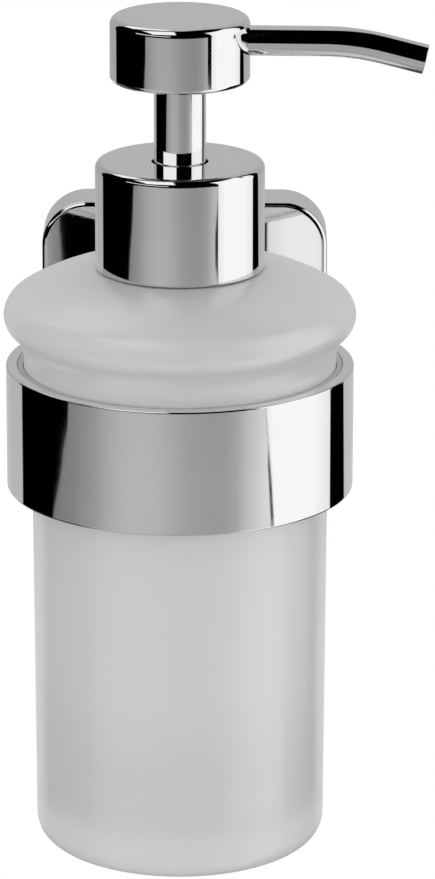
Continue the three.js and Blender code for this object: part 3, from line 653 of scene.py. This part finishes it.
def plate_cover():
    """Shallow square cup: round corners, a face eased along its edge and a hollow back."""
    depth = PLATE_DEPTH - PLATE_EDGE_ROUND
    cover = bar(PLATE_SIDE, depth, PLATE_SIDE, PLATE_CORNER, (0, -depth / 2, 0))
    picked(cover, "face", lambda face: face.normal.y < -0.9)
    quarter = [math.radians(90 * step / EDGE_STEPS) for step in range(EDGE_STEPS + 1)]
    for here, there in pairwise(quarter):
        bpy.ops.mesh.inset(
            thickness=PLATE_EDGE_ROUND * (math.cos(here) - math.cos(there)) * MM,
            depth=PLATE_EDGE_ROUND * (math.sin(there) - math.sin(here)) * MM,
        )
    picked(cover, "face", lambda face: face.normal.y > 0.9)
    bpy.ops.mesh.inset(thickness=PLATE_WALL * MM)
    hollow = (0, -(PLATE_DEPTH - PLATE_WALL) * MM, 0)
    bpy.ops.mesh.extrude_region_move(TRANSFORM_OT_translate={"value": hollow})
    shut(cover, "plate_cover_shell")
    cut_by(cover, pin(SCREW_HOLE_RADIUS, 0, PLATE_DEPTH + GAP, (0, 0, 0), 1))
    cut_by(cover, pin(SCREW_HOLE_RADIUS, -PLATE_WALL, PLATE_WALL + GAP, GRUB_PLACE, 0))
    return polished(cover)


def wall_bracket():
    """Cast plate behind the cover, with countersunk holes and pockets for the plugs' rims."""
    bracket = bar(
        BRACKET_SIDE, BRACKET_DEPTH, BRACKET_SIDE, BRACKET_CORNER, (0, -BRACKET_DEPTH / 2, 0)
    )
    shut(bracket, "wall_bracket_plate")
    for across in WALL_SCREW_PLACES.values():
        sink = countersink(WALL_SCREW_HEAD, WALL_SCREW_RADIUS, 9, LARGE_SIDES)
        cut_by(bracket, set_in(sink, (across, -BRACKET_DEPTH, 0), 1))
        cut_by(bracket, pin(PLUG_RIM_RADIUS + GAP, -OVERRUN, 1, (across, 0, 0), 1))
    pocket = pin(ARM_SCREW_POCKET, BRACKET_FLOOR, BRACKET_DEPTH + OVERRUN, (0, 0, 0), 1)
    cut_by(bracket, pocket)
    cut_by(bracket, pin(SCREW_HOLE_RADIUS, -OVERRUN, GRUB_LENGTH + 2 * GAP, GRUB_PLACE, 0))
    return polished(eased_edges(bracket, 0.25))


def wall_screw(side):
    """Countersunk screw with a cross recess and a pointed end."""
    screw = lathed("wall_screw_pin", [
        (0, -WALL_SCREW_LENGTH),
        (0.5, -WALL_SCREW_LENGTH, 0.4),
        (WALL_SCREW_RADIUS, 4 - WALL_SCREW_LENGTH),
        (WALL_SCREW_RADIUS, WALL_SCREW_RADIUS - WALL_SCREW_HEAD),
        (WALL_SCREW_HEAD, 0, 0.2),
        (0, 0),
    ], sides=SMALL_SIDES)
    for width, depth in ((WALL_SCREW_HEAD, CROSS_WIDTH), (CROSS_WIDTH, WALL_SCREW_HEAD)):
        size = (width, depth, 2 * CROSS_DEPTH)
        arm = opened(bpy.ops.mesh.primitive_cube_add, size=MM, scale=size, location=(0, 0, 0))
        cut_by(screw, shut(arm, "recess"))
    set_in(screw, (WALL_SCREW_PLACES[side], GAP - BRACKET_DEPTH, 0), 1)
    screw.name = screw.data.name = f"wall_screw_{side}_body"
    return polished(screw)


def wall_plug(side):
    """Moulded plug: a rim, a row of barbs and a slit through its far half."""
    outline = [(PLUG_BORE, 0), (PLUG_RIM_RADIUS, 0, 0.2), (PLUG_RIM_RADIUS, PLUG_RIM, 0.2)]
    for barb in range(PLUG_BARBS):
        start = 1.4 + BARB_PITCH * barb
        outline += [(3.45, start, 0.1), (3.8, start + BARB_LENGTH, 0.1)]
    outline += [(3.5, PLUG_LENGTH, 0.3), (PLUG_BORE, PLUG_LENGTH)]
    plug = lathed("wall_plug_body", outline, sides=SMALL_SIDES)
    slit_length = PLUG_LENGTH + OVERRUN - SLIT_START
    slit = opened(
        bpy.ops.mesh.primitive_cube_add,
        size=MM,
        scale=(SLIT_WIDTH, 12, slit_length),
        location=(0, 0, (SLIT_START + slit_length / 2) * MM),
    )
    cut_by(plug, shut(slit, "slit"))
    set_in(plug, (WALL_SCREW_PLACES[side], GAP, 0), 3)
    plug.name = plug.data.name = f"wall_plug_{side}_body"
    return polished(plug)


def hex_recess(level):
    """Tool for a hexagon socket in a screw whose head's face is at a level."""
    return pin(HEX_RADIUS, level - HEX_DEPTH, level + 1, (0, 0, 0), 0, sides=6)


def arm_screw():
    """Round-headed screw with a hexagon socket, from inside the cover into the arm."""
    screw = lathed("arm_screw_body", [
        (0, -ARM_SCREW_LENGTH),
        (ARM_SCREW_RADIUS - 0.4, -ARM_SCREW_LENGTH),
        (ARM_SCREW_RADIUS, 0.4 - ARM_SCREW_LENGTH),
        (ARM_SCREW_RADIUS, 0),
        (ARM_SCREW_HEAD, 0, 0.15),
        (ARM_SCREW_HEAD, 0.6 * ARM_SCREW_HEAD_HEIGHT, 0.6),
        (0.8 * ARM_SCREW_HEAD, ARM_SCREW_HEAD_HEIGHT, 0.4),
        (0, ARM_SCREW_HEAD_HEIGHT),
    ], sides=SMALL_SIDES)
    cut_by(screw, hex_recess(ARM_SCREW_HEAD_HEIGHT))
    return polished(set_in(screw, (0, GAP + PLATE_WALL - PLATE_DEPTH, 0), 3))


def grub_screw():
    """Short headless screw with a hexagon socket, up into the bracket."""
    screw = lathed("grub_screw_body", [
        (0, -GRUB_LENGTH), (GRUB_RADIUS, -GRUB_LENGTH, 0.3), (GRUB_RADIUS, 0, 0.2), (0, 0),
    ], sides=SMALL_SIDES)
    cut_by(screw, hex_recess(0))
    across, away, level = GRUB_PLACE
    return polished(set_in(screw, (across, away, level + GAP), 2))


def ring_screw():
    """Countersunk screw with a hexagon socket, from inside the ring into the arm."""
    screw = lathed("ring_screw_body", [
        (0, -RING_SCREW_LENGTH),
        (RING_SCREW_RADIUS - 0.34, -RING_SCREW_LENGTH),
        (RING_SCREW_RADIUS, 0.34 - RING_SCREW_LENGTH),
        (RING_SCREW_RADIUS, RING_SCREW_RADIUS - RING_SCREW_HEAD),
        (RING_SCREW_HEAD, 0, 0.15),
        (0, 0),
    ], sides=SMALL_SIDES)
    cut_by(screw, hex_recess(0))
    return polished(set_in(screw, RING_SCREW_PLACE, 1))


def holder_arm():
    """Bar from the plate to the ring, its end hollowed to the ring's round back."""
    start = PLATE_DEPTH + GAP
    end = -AXIS.y / MM
    arm = bar(ARM_WIDTH, end - start, ARM_HEIGHT, ARM_CORNER, (0, -(start + end) / 2, 0))
    shut(arm, "holder_arm_bar")
    cut_by(arm, pin(RING_RADIUS + GAP, -RING_HEIGHT, RING_HEIGHT, (0, AXIS.y / MM, 0), 0, 640))
    arm_hole_end = PLATE_DEPTH - PLATE_WALL + ARM_SCREW_LENGTH + GAP
    cut_by(arm, pin(SCREW_HOLE_RADIUS, start - OVERRUN, arm_hole_end, (0, 0, 0), 1))
    ring_hole_start = -RING_SCREW_PLACE.y - RING_SCREW_LENGTH - GAP
    cut_by(arm, pin(RING_SCREW_RADIUS + GAP, ring_hole_start, end, (0, 0, 0), 1))
    return polished(arm)


def holder_ring():
    """Band round the bottle with a lip at its foot."""
    band = turned("holder_ring_band", [
        (RING_LIP_BORE, -RING_HEIGHT, 0.3),
        (RING_RADIUS, -RING_HEIGHT, 0.4),
        (RING_RADIUS, 0, 0.4),
        (RING_BORE, 0, 0.35),
        (RING_BORE, RING_LIP - RING_HEIGHT),
        (RING_LIP_BORE, RING_LIP - RING_HEIGHT, 0.25),
    ])
    sink = countersink(RING_SCREW_HEAD, RING_SCREW_RADIUS, 6, SMALL_SIDES)
    return polished(cut_by(band, set_in(sink, RING_SCREW_PLACE, 1)))


def ring_liner():
    """Thin cloudy sleeve that carries the bottle's step on its lip."""
    return polished(turned("ring_liner_sleeve", [
        (RING_LIP_BORE, -24.7),
        (LINER_RADIUS, -24.7, 0.15),
        (LINER_RADIUS, -0.2, 0.15),
        (LINER_BORE, -0.2, 0.1),
        (LINER_BORE, -23.8),
        (RING_LIP_BORE, -23.8, 0.1),
    ]))


# Bottle and pump

def glass_bottle():
    """Blown bottle: punt, round foot, step on the liner, bulge over the ring, threaded neck."""
    outside = [
        (0, BOTTLE_FOOT + 1),
        (15.2, BOTTLE_FOOT + 0.8, 30),
        (24.65, BOTTLE_FOOT, 3),
        (30.35, BOTTLE_FOOT, 4.7),
        (30.75, STEP_LEVEL, 0.3),
        (32.4, STEP_LEVEL, 0.3),
        (32.4, 5.23, 7.1),
        (36.4, 8.59, 4.1),
        (36.4, 13.38, 5.2),
        (26.02, 19.37, 38),
        (COLLAR_RADIUS, SHOULDER_LEVEL),
        (NECK_RADIUS, SHOULDER_LEVEL, 0.5),
        (NECK_RADIUS, NECK_TOP, 0.4),
    ]
    inside = [
        (NECK_BORE, NECK_TOP, 0.4),
        (NECK_BORE, 18.25, 2),
        (COLLAR_RADIUS, 16.85, 6),
        (28.9, 11.67, 5),
        (31.85, 8.75, 2),
        (28.9, 3.5, 4),
        (28.9, -16.5, 8),
        (27.25, STEP_LEVEL, 8),
        (26.85, BOTTLE_FLOOR, 6),
        (0, BOTTLE_FLOOR),
    ]
    bottle = turned("glass_bottle_body", outside + inside, steps=8)
    ridge = thread_ridge(13.1, 14.4, turns=1.5, steps=150)
    return polished(joined(bottle, on_axis(ridge)))


def neck_gasket():
    """Flat seal between the glass and the pump's flange."""
    return polished(turned("neck_gasket_ring", [
        (CYLINDER_RADIUS + GAP, 33.62, 0.3),
        (FLANGE_RADIUS, 33.62, 0.3),
        (FLANGE_RADIUS, 34.82, 0.3),
        (CYLINDER_RADIUS + GAP, 34.82, 0.3),
    ]))


def pump_cylinder():
    """Pump housing: flange, barrel, the inlet valve's pocket and the socket of the dip tube."""
    return polished(turned("pump_cylinder_barrel", [
        (DIP_TUBE_RADIUS + GAP, -34.08, 0.4),
        (5, -34.08, 0.4),
        (5, -18.98, 0.8),
        (CYLINDER_RADIUS, -16.48, 1.2),
        (CYLINDER_RADIUS, 35.12, 0.3),
        (FLANGE_RADIUS, 35.12, 0.2),
        (FLANGE_RADIUS, 36.62, 0.2),
        (CYLINDER_BORE, 36.62, 0.2),
        (CYLINDER_BORE, -14.98),
        (3.4, -14.98),
        (3.4, -18.98),
        (1.8, -20.58),
        (1.8, -22.08),
        (DIP_TUBE_RADIUS + GAP, -22.08),
    ]))


def guide_bush():
    """Black guide of sleeve and rod, whose flange the cap holds down."""
    return polished(turned("guide_bush_body", [
        (ROD_HOLE, 22.22, 0.2),
        (PISTON_RADIUS, 22.22, 0.4),
        (PISTON_RADIUS, 36.92, 0.1),
        (FLANGE_RADIUS, 36.92, 0.2),
        (FLANGE_RADIUS, 38.42, 0.2),
        (PISTON_RADIUS, 38.42, 0.1),
        (PISTON_RADIUS, 41.12, 0.3),
        (GUIDE_BORE, 41.12, 0.3),
        (GUIDE_BORE, 24.12, 0.2),
        (ROD_HOLE, 24.12, 0.2),
    ]))


def dip_tube():
    """Long tube to the floor of the bottle, its end cut slantwise."""
    tube = turned("dip_tube_pipe", [
        (DIP_TUBE_BORE, -92.07),
        (DIP_TUBE_RADIUS, -92.07),
        (DIP_TUBE_RADIUS, -22.38, 0.2),
        (DIP_TUBE_BORE, -22.38, 0.2),
    ])
    bpy.ops.object.mode_set(mode="EDIT")
    bpy.ops.mesh.select_all(action="SELECT")
    slant = math.radians(DIP_TUBE_SLANT)
    bpy.ops.mesh.bisect(
        plane_co=AXIS + Vector((0, 0, -90.47)) * MM,
        plane_no=(math.sin(slant), 0, math.cos(slant)),
        use_fill=False,
        clear_inner=True,
    )
    picked(tube, "edge", lambda edge: edge.is_boundary)
    bpy.ops.mesh.bridge_edge_loops()
    return polished(shut(tube, "dip_tube_pipe"))


def pump_spring():
    """Round-wire compression spring."""
    section = []
    for step in range(SPRING_SIDES):
        angle = math.radians(360 * step / SPRING_SIDES)
        section.append((
            SPRING_RADIUS + SPRING_WIRE * math.cos(angle),
            SPRING_FOOT + SPRING_WIRE * (1 + math.sin(angle)),
        ))
    pitch = (SPRING_LENGTH - 2 * SPRING_WIRE) / SPRING_TURNS
    steps = SPRING_STEPS * SPRING_TURNS
    coil = on_axis(wound("pump_spring_coil", section, pitch, SPRING_TURNS, steps))
    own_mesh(polished(coil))
    return coil


def threaded_cap():
    """Screw cap inside the chrome collar, with a thread that meets the neck's."""
    cap = turned("threaded_cap_body", [
        (CAP_BORE, COLLAR_FOOT + GAP, 0.3),
        (CAP_RADIUS, COLLAR_FOOT + GAP, 0.2),
        (CAP_RADIUS, COLLAR_ROOF - GAP, 0.3),
        (PISTON_RADIUS + GAP, COLLAR_ROOF - GAP, 0.2),
        (PISTON_RADIUS + GAP, 38.72, 0.2),
        (CAP_BORE, 38.72, 0.4),
    ])
    ridge = thread_ridge(15.15, 13.85, turns=1.25, steps=120)
    return polished(joined(cap, on_axis(ridge, 180)))


def piston_seal():
    """Plunger with a lip at each end."""
    return polished(turned("piston_seal_body", [
        (ROD_HOLE, 11.92, 0.2),
        (PISTON_RADIUS, 11.92, 0.2),
        (PISTON_RADIUS, 13.12, 0.4),
        (6.4, 14.32, 0.8),
        (6.4, 19.52, 0.8),
        (PISTON_RADIUS, 20.72, 0.4),
        (PISTON_RADIUS, 21.92, 0.2),
        (ROD_HOLE, 21.92, 0.2),
    ]))


def piston_rod():
    """Hollow rod with a foot under the piston."""
    return polished(turned("piston_rod_body", [
        (ROD_BORE, 9.62, 0.2),
        (5.6, 9.62, 0.3),
        (5.6, 11.62, 0.3),
        (ROD_RADIUS, 11.62, 0.2),
        (ROD_RADIUS, 64.43, 0.2),
        (ROD_BORE, 64.43, 0.2),
    ], sides=MEDIUM_SIDES))


def collar_shell():
    """Deep chrome cap over the neck's closure."""
    return polished(turned("collar_shell_cap", [
        (COLLAR_BORE, COLLAR_FOOT),
        (COLLAR_RADIUS, COLLAR_FOOT, 0.25),
        (COLLAR_RADIUS, COLLAR_TOP, 1.5),
        (GUIDE_BORE, COLLAR_TOP, 0.3),
        (GUIDE_BORE, COLLAR_ROOF),
        (COLLAR_BORE, COLLAR_ROOF),
    ], steps=10))


def stem_sleeve():
    """Chrome tube round the pump's rod, held by an inner rim at its foot."""
    return polished(turned("stem_sleeve_tube", [
        (ROD_HOLE, 39.72, 0.2),
        (SLEEVE_RADIUS, 39.72, 0.3),
        (SLEEVE_RADIUS, 62.33, 0.1),
        (SLEEVE_BORE, 62.33, 0.1),
        (SLEEVE_BORE, 44.6),
        (ROD_HOLE, 43.8),
    ], sides=MEDIUM_SIDES))


def head_shell():
    """Round press head with an eased top edge, open below."""
    shell = turned("head_shell_cup", [
        (HEAD_BORE, HEAD_FOOT, 0.2),
        (HEAD_RADIUS, HEAD_FOOT, 1),
        (HEAD_RADIUS, HEAD_TOP, 1.7),
        (0, HEAD_TOP),
        (0, HEAD_ROOF),
        (HEAD_BORE, HEAD_ROOF),
    ], steps=10)
    spigot_hole = opened(
        bpy.ops.mesh.primitive_cylinder_add,
        vertices=SMALL_SIDES,
        radius=CHANNEL_RADIUS * MM,
        depth=10 * MM,
        location=Vector((15, 0, SPOUT_LEVEL)) * MM,
        rotation=(0, math.pi / 2, 0),
    )
    return polished(cut_by(shell, on_axis(shut(spigot_hole, "hole"), SPOUT_TURN)))


def head_core():
    """Black core of the head, with the sockets of rod and sleeve and the liquid's chamber."""
    core = turned("head_core_body", [
        (SLEEVE_RADIUS + GAP, 60.33, 0.3),
        (CORE_RADIUS, 60.33, 0.3),
        (CORE_RADIUS, HEAD_ROOF - GAP, 0.3),
        (0, HEAD_ROOF - GAP),
        (0, 70.33),
        (2.7, 70.33),
        (2.7, 64.73),
        (ROD_HOLE, 64.73),
        (ROD_HOLE, 62.63),
        (SLEEVE_RADIUS + GAP, 62.63),
    ])
    channel = opened(
        bpy.ops.mesh.primitive_cylinder_add,
        vertices=SMALL_SIDES,
        radius=CHANNEL_RADIUS * MM,
        depth=14 * MM,
        location=Vector((8.4, 0, SPOUT_LEVEL)) * MM,
        rotation=(0, math.pi / 2, 0),
    )
    return polished(cut_by(core, on_axis(shut(channel, "channel"), SPOUT_TURN)))


def spout_tube():
    """Tube that runs level out of the head and then bends down to a straight open end."""
    spout = opened(
        bpy.ops.mesh.primitive_circle_add,
        vertices=SMALL_SIDES,
        radius=SPOUT_RADIUS * MM,
        location=(SPOUT_START * MM, 0, SPOUT_LEVEL * MM),
        rotation=(0, math.pi / 2, 0),
    )
    straight = ((SPOUT_STRAIGHT - SPOUT_START) * MM, 0, 0)
    bpy.ops.mesh.extrude_region_move(TRANSFORM_OT_translate={"value": straight})
    bend = math.radians(SPOUT_BEND)
    bpy.ops.mesh.spin(
        steps=40,
        angle=-bend,
        center=(SPOUT_STRAIGHT * MM, 0, (SPOUT_LEVEL - SPOUT_BEND_RADIUS) * MM),
        axis=(0, 1, 0),
    )
    tip = Vector((math.cos(bend), 0, -math.sin(bend))) * SPOUT_TIP * MM
    bpy.ops.mesh.extrude_region_move(TRANSFORM_OT_translate={"value": tip})
    shut(spout, "spout_tube_pipe")
    applied(spout, "SOLIDIFY", thickness=(SPOUT_RADIUS - SPOUT_BORE) * MM, offset=-1)
    return polished(on_axis(eased_edges(spout, 0.18), SPOUT_TURN))


# Studio

def upright_shapes(turn, tilt):
    """Black flags to the left and right, a black slit, and a white panel to the right.

    Their edges lean from tilt to tilt, as those of near ones do. Tilts down to -15.5 are mirrored
    in head, stem and collar, those down to -18.3 in the ring, and lower ones in the glass.
    """
    left_start = tilt.along((-19, -106), (-18.5, -128.5))
    left_end = tilt.along(
        (-19, -70), (-18.5, -94), (-17.3, -79), (-15.7, -74), (-14.9, -67), (-13, -57.5)
    )
    left_flag = (turn - left_start).step(0, 1.5) - (turn - left_end).step(0, 1.2)

    panel_start = tilt.along((-19, 40), (-18.5, 66.5), (-17.2, 60.5), (-15.4, 54), (-13, 54))
    panel_end = tilt.along((-19, 92), (-18.5, 120), (-13, 117))
    panel = (turn - panel_start).step(0, 1.2) - (turn - panel_end).step(0, 1.2)

    slit_width = tilt.along(
        (-18.3, 2.5), (-17.7, 2), (-17.5, 0.5), (-15.6, 0.5), (-15.4, 4.5), (-15, 4.5),
        (-14.6, 0.5), (-13.6, 0.5), (-13.4, 7),
    )
    slit_start = panel_start - slit_width
    slit = (turn - slit_start).step(0, 1) - (turn - panel_start).step(0, 1)

    right_end = tilt.along((-19, 138), (-18.5, 144), (-15.2, 136), (-13, 130))
    right_flag = (turn - panel_end).step(0, 1.2) - (turn - right_end).step(0, 1.5)

    level_band = tilt.within(ROOM_FLOOR_TILT, 50, 6)
    return (left_flag + slit + right_flag) * level_band, panel * level_band


def overhead_shapes(across, turn, tilt, rise):
    """Black ceiling in front, and white strips: two overhead to the left and a low window."""
    corner_dip = turn.along((-66, 3), (-48, 0), (34, 0), (50, 3))
    ceiling_end = across.along((0.02, 102), (0.2, 118))
    ceiling = (rise + corner_dip).step(-10.5, 1.2) - (rise - ceiling_end).step(0, 1.5)

    strips = rise.within(42, 90, 3) + rise.within(110, 132, 2)
    strips = strips * across.within(-0.64, -0.09, 0.05) * tilt.step(8, 4)
    low_window = turn.within(-77, -15, 3) * tilt.within(12, 18, 1)
    return ceiling, strips + low_window


def room_light(turn, tilt, rise):
    """Walls of uneven grey, paler ones low down for the glass, the floor, and shade at its back."""
    walls = turn.along(
        (-180, 0.7), (-150, 0.58), (-128, 0.58), (-96, 0.24), (-75, 0.28), (-58, 0.38),
        (-50, 0.47), (-42, 0.54), (-30, 0.59), (-18, 0.575), (-10, 0.54), (-2, 0.485), (6, 0.435),
        (22, 0.4), (30, 0.405), (38, 0.47), (46, 0.63), (62, 0.9), (128, 0.6), (180, 0.7),
    )
    walls = walls * tilt.along((-18, 1.12), (-15.4, 1), (-13, 0.88))
    low_walls = turn.along(
        (-180, 1), (-106, 0.85), (-70, 0.68), (-25, 0.6), (-6, 0.48), (25, 0.46), (50, 0.62),
        (140, 0.9),
    )
    walls = walls + (low_walls - walls) * (1 - tilt.step(-18.8, 0.4))
    over_floor = tilt.step(ROOM_FLOOR_TILT, 10)
    underside = rise.within(-152, -100, 2) * 0.85
    return (walls * over_floor + (1 - over_floor) * ROOM_FLOOR_LIGHT) * (1 - underside)


def studio_world():
    """White to the camera, even for soft light, and a studio of panels and flags for the chrome.

    Turn is the compass direction in degrees, 0 towards the camera and 90 to the right. Tilt is
    the height over the horizon. Rise goes up from the camera over the zenith to the wall.
    """
    world = bpy.data.worlds.new("studio")
    world.use_nodes = True
    bpy.context.scene.world = world
    sheet = Sheet(world.node_tree)
    direction = sheet.add("ShaderNodeTexCoord", output="Generated")
    across, away, up = sheet.add("ShaderNodeSeparateXYZ", {}, {0: direction}).outputs()
    turn = across.reckon("ARCTAN2", across, 0 - away) * math.degrees(1)
    tilt = up.reckon("ARCSINE", up) * math.degrees(1)
    rise = up.reckon("ARCTAN2", up, 0 - away) * math.degrees(1)

    flags, panel = upright_shapes(turn, tilt)
    ceiling, strips = overhead_shapes(across, turn, tilt, rise)
    lit = room_light(turn, tilt, rise) * (1 - ceiling) * (1 - flags)
    panel_light = turn.along((50, 1.1), (66, 1.32), (100, 1.32), (118, 1.12))
    mirrored = lit * (1 - panel) * (1 - strips) + panel * panel_light + strips * STRIP_LIGHT

    # The soft light is a little weaker from overhead in front
    overhead = rise.within(25, 125, 30) * across.within(-0.9, 0.9, 0.3)
    soft_light = SOFT_LIGHT - overhead * OVERHEAD_LOSS

    rays = {ray.link.name: ray for ray in sheet.add("ShaderNodeLightPath").outputs()}
    to_camera, glossy = rays["Is Camera Ray"], rays["Is Glossy Ray"]
    seen = glossy * mirrored * MIRRORED_SHARE + (1 - glossy) * soft_light
    sockets = {"Color": (1, 1, 1, 1), "Strength": to_camera + (1 - to_camera) * seen}
    background = sheet.add("ShaderNodeBackground", {}, sockets)
    sheet.add("ShaderNodeOutputWorld", {}, {"Surface": background})


def pale_floor():
    """Plain floor, far below the object, that is as white to the camera as the room."""
    floor = opened(
        bpy.ops.mesh.primitive_plane_add, size=FLOOR_SIZE, location=(0, 0, FLOOR_LEVEL)
    )
    bpy.ops.mesh.subdivide(number_cuts=3)
    shut(floor, "floor")
    material, sheet = material_sheet("pale_floor")
    pale = sheet.tint(sheet.noise(300), (0.78, 0.78, 0.78), (0.8, 0.8, 0.8))
    paint = sheet.add("ShaderNodeBsdfDiffuse", {}, {"Color": pale})
    white = sheet.add("ShaderNodeEmission")
    to_camera = sheet.add("ShaderNodeLightPath", output="Is Camera Ray")
    mixed = sheet.add("ShaderNodeMixShader", {}, {0: to_camera, 1: paint, 2: white})
    sheet.add("ShaderNodeOutputMaterial", {}, {"Surface": mixed})
    floor.data.materials.append(material)
    floor.visible_glossy = False
    floor.visible_transmission = False


def photo_camera():
    """Long lens about a metre away, looking down at the bottle from just right of it."""
    turn, rise = math.radians(CAMERA_TURN), math.radians(CAMERA_RISE)
    away = Vector((
        math.cos(rise) * math.sin(turn),
        -math.cos(rise) * math.cos(turn),
        math.sin(rise),
    ))
    bpy.ops.object.camera_add()
    camera = bpy.context.object
    facing = (-away).to_track_quat("-Z", "Y").to_matrix().to_4x4()
    aim = (
        Matrix.Rotation(math.radians(CAMERA_AIM_ASIDE), 4, "Y")
        @ Matrix.Rotation(math.radians(CAMERA_AIM_DOWN), 4, "X")
    )
    camera.matrix_world = Matrix.Translation(AXIS + away * CAMERA_DISTANCE) @ facing @ aim
    camera.data.lens = CAMERA_LENS
    camera.data.clip_end = 20
    bpy.context.scene.camera = camera


# The object

FINISHES = {
    "chrome": chrome(),
    "zinc": cast_zinc(),
    "steel": turned_steel(),
    "nylon": grey_nylon(),
    "clear_plastic": clear_plastic(),
    "frosted_glass": frosted_glass(),
    "rubber": seal_rubber(),
    "white_plastic": white_plastic(),
    "black_plastic": black_plastic(),
}
MODELLED = {
    "wall_bracket": wall_bracket,
    "plate_cover": plate_cover,
    "grub_screw": grub_screw,
    "arm_screw": arm_screw,
    "holder_arm": holder_arm,
    "holder_ring": holder_ring,
    "ring_screw": ring_screw,
    "ring_liner": ring_liner,
    "glass_bottle": glass_bottle,
    "neck_gasket": neck_gasket,
    "pump_cylinder": pump_cylinder,
    "guide_bush": guide_bush,
    "dip_tube": dip_tube,
    "pump_spring": pump_spring,
    "threaded_cap": threaded_cap,
    "collar_shell": collar_shell,
    "piston_seal": piston_seal,
    "piston_rod": piston_rod,
    "stem_sleeve": stem_sleeve,
    "head_shell": head_shell,
    "head_core": head_core,
    "spout_tube": spout_tube,
}
for side in WALL_SCREW_PLACES:
    MODELLED[f"wall_screw_{side}"] = partial(wall_screw, side)
    MODELLED[f"wall_plug_{side}"] = partial(wall_plug, side)

slot_of = {part["node"]: part["material_slot"] for part in frame["record"]["subparts"]}
body_of = {
    node: body
    for body, nodes in frame["record"]["behaviour"]["bodies"].items()
    for node in nodes
}

for node, cad_piece in frame["nodes"].items():
    finish = FINISHES[slot_of[node]]
    cad_piece.data.materials.clear()
    cad_piece.data.materials.append(finish)
    if node in MODELLED:
        piece = MODELLED[node]()
        piece.data.materials.clear()
        piece.data.materials.append(finish)
        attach(piece, body_of[node])
        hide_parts(node)

studio_world()
pale_floor()
photo_camera()
bpy.context.scene.view_settings.view_transform = "Standard"
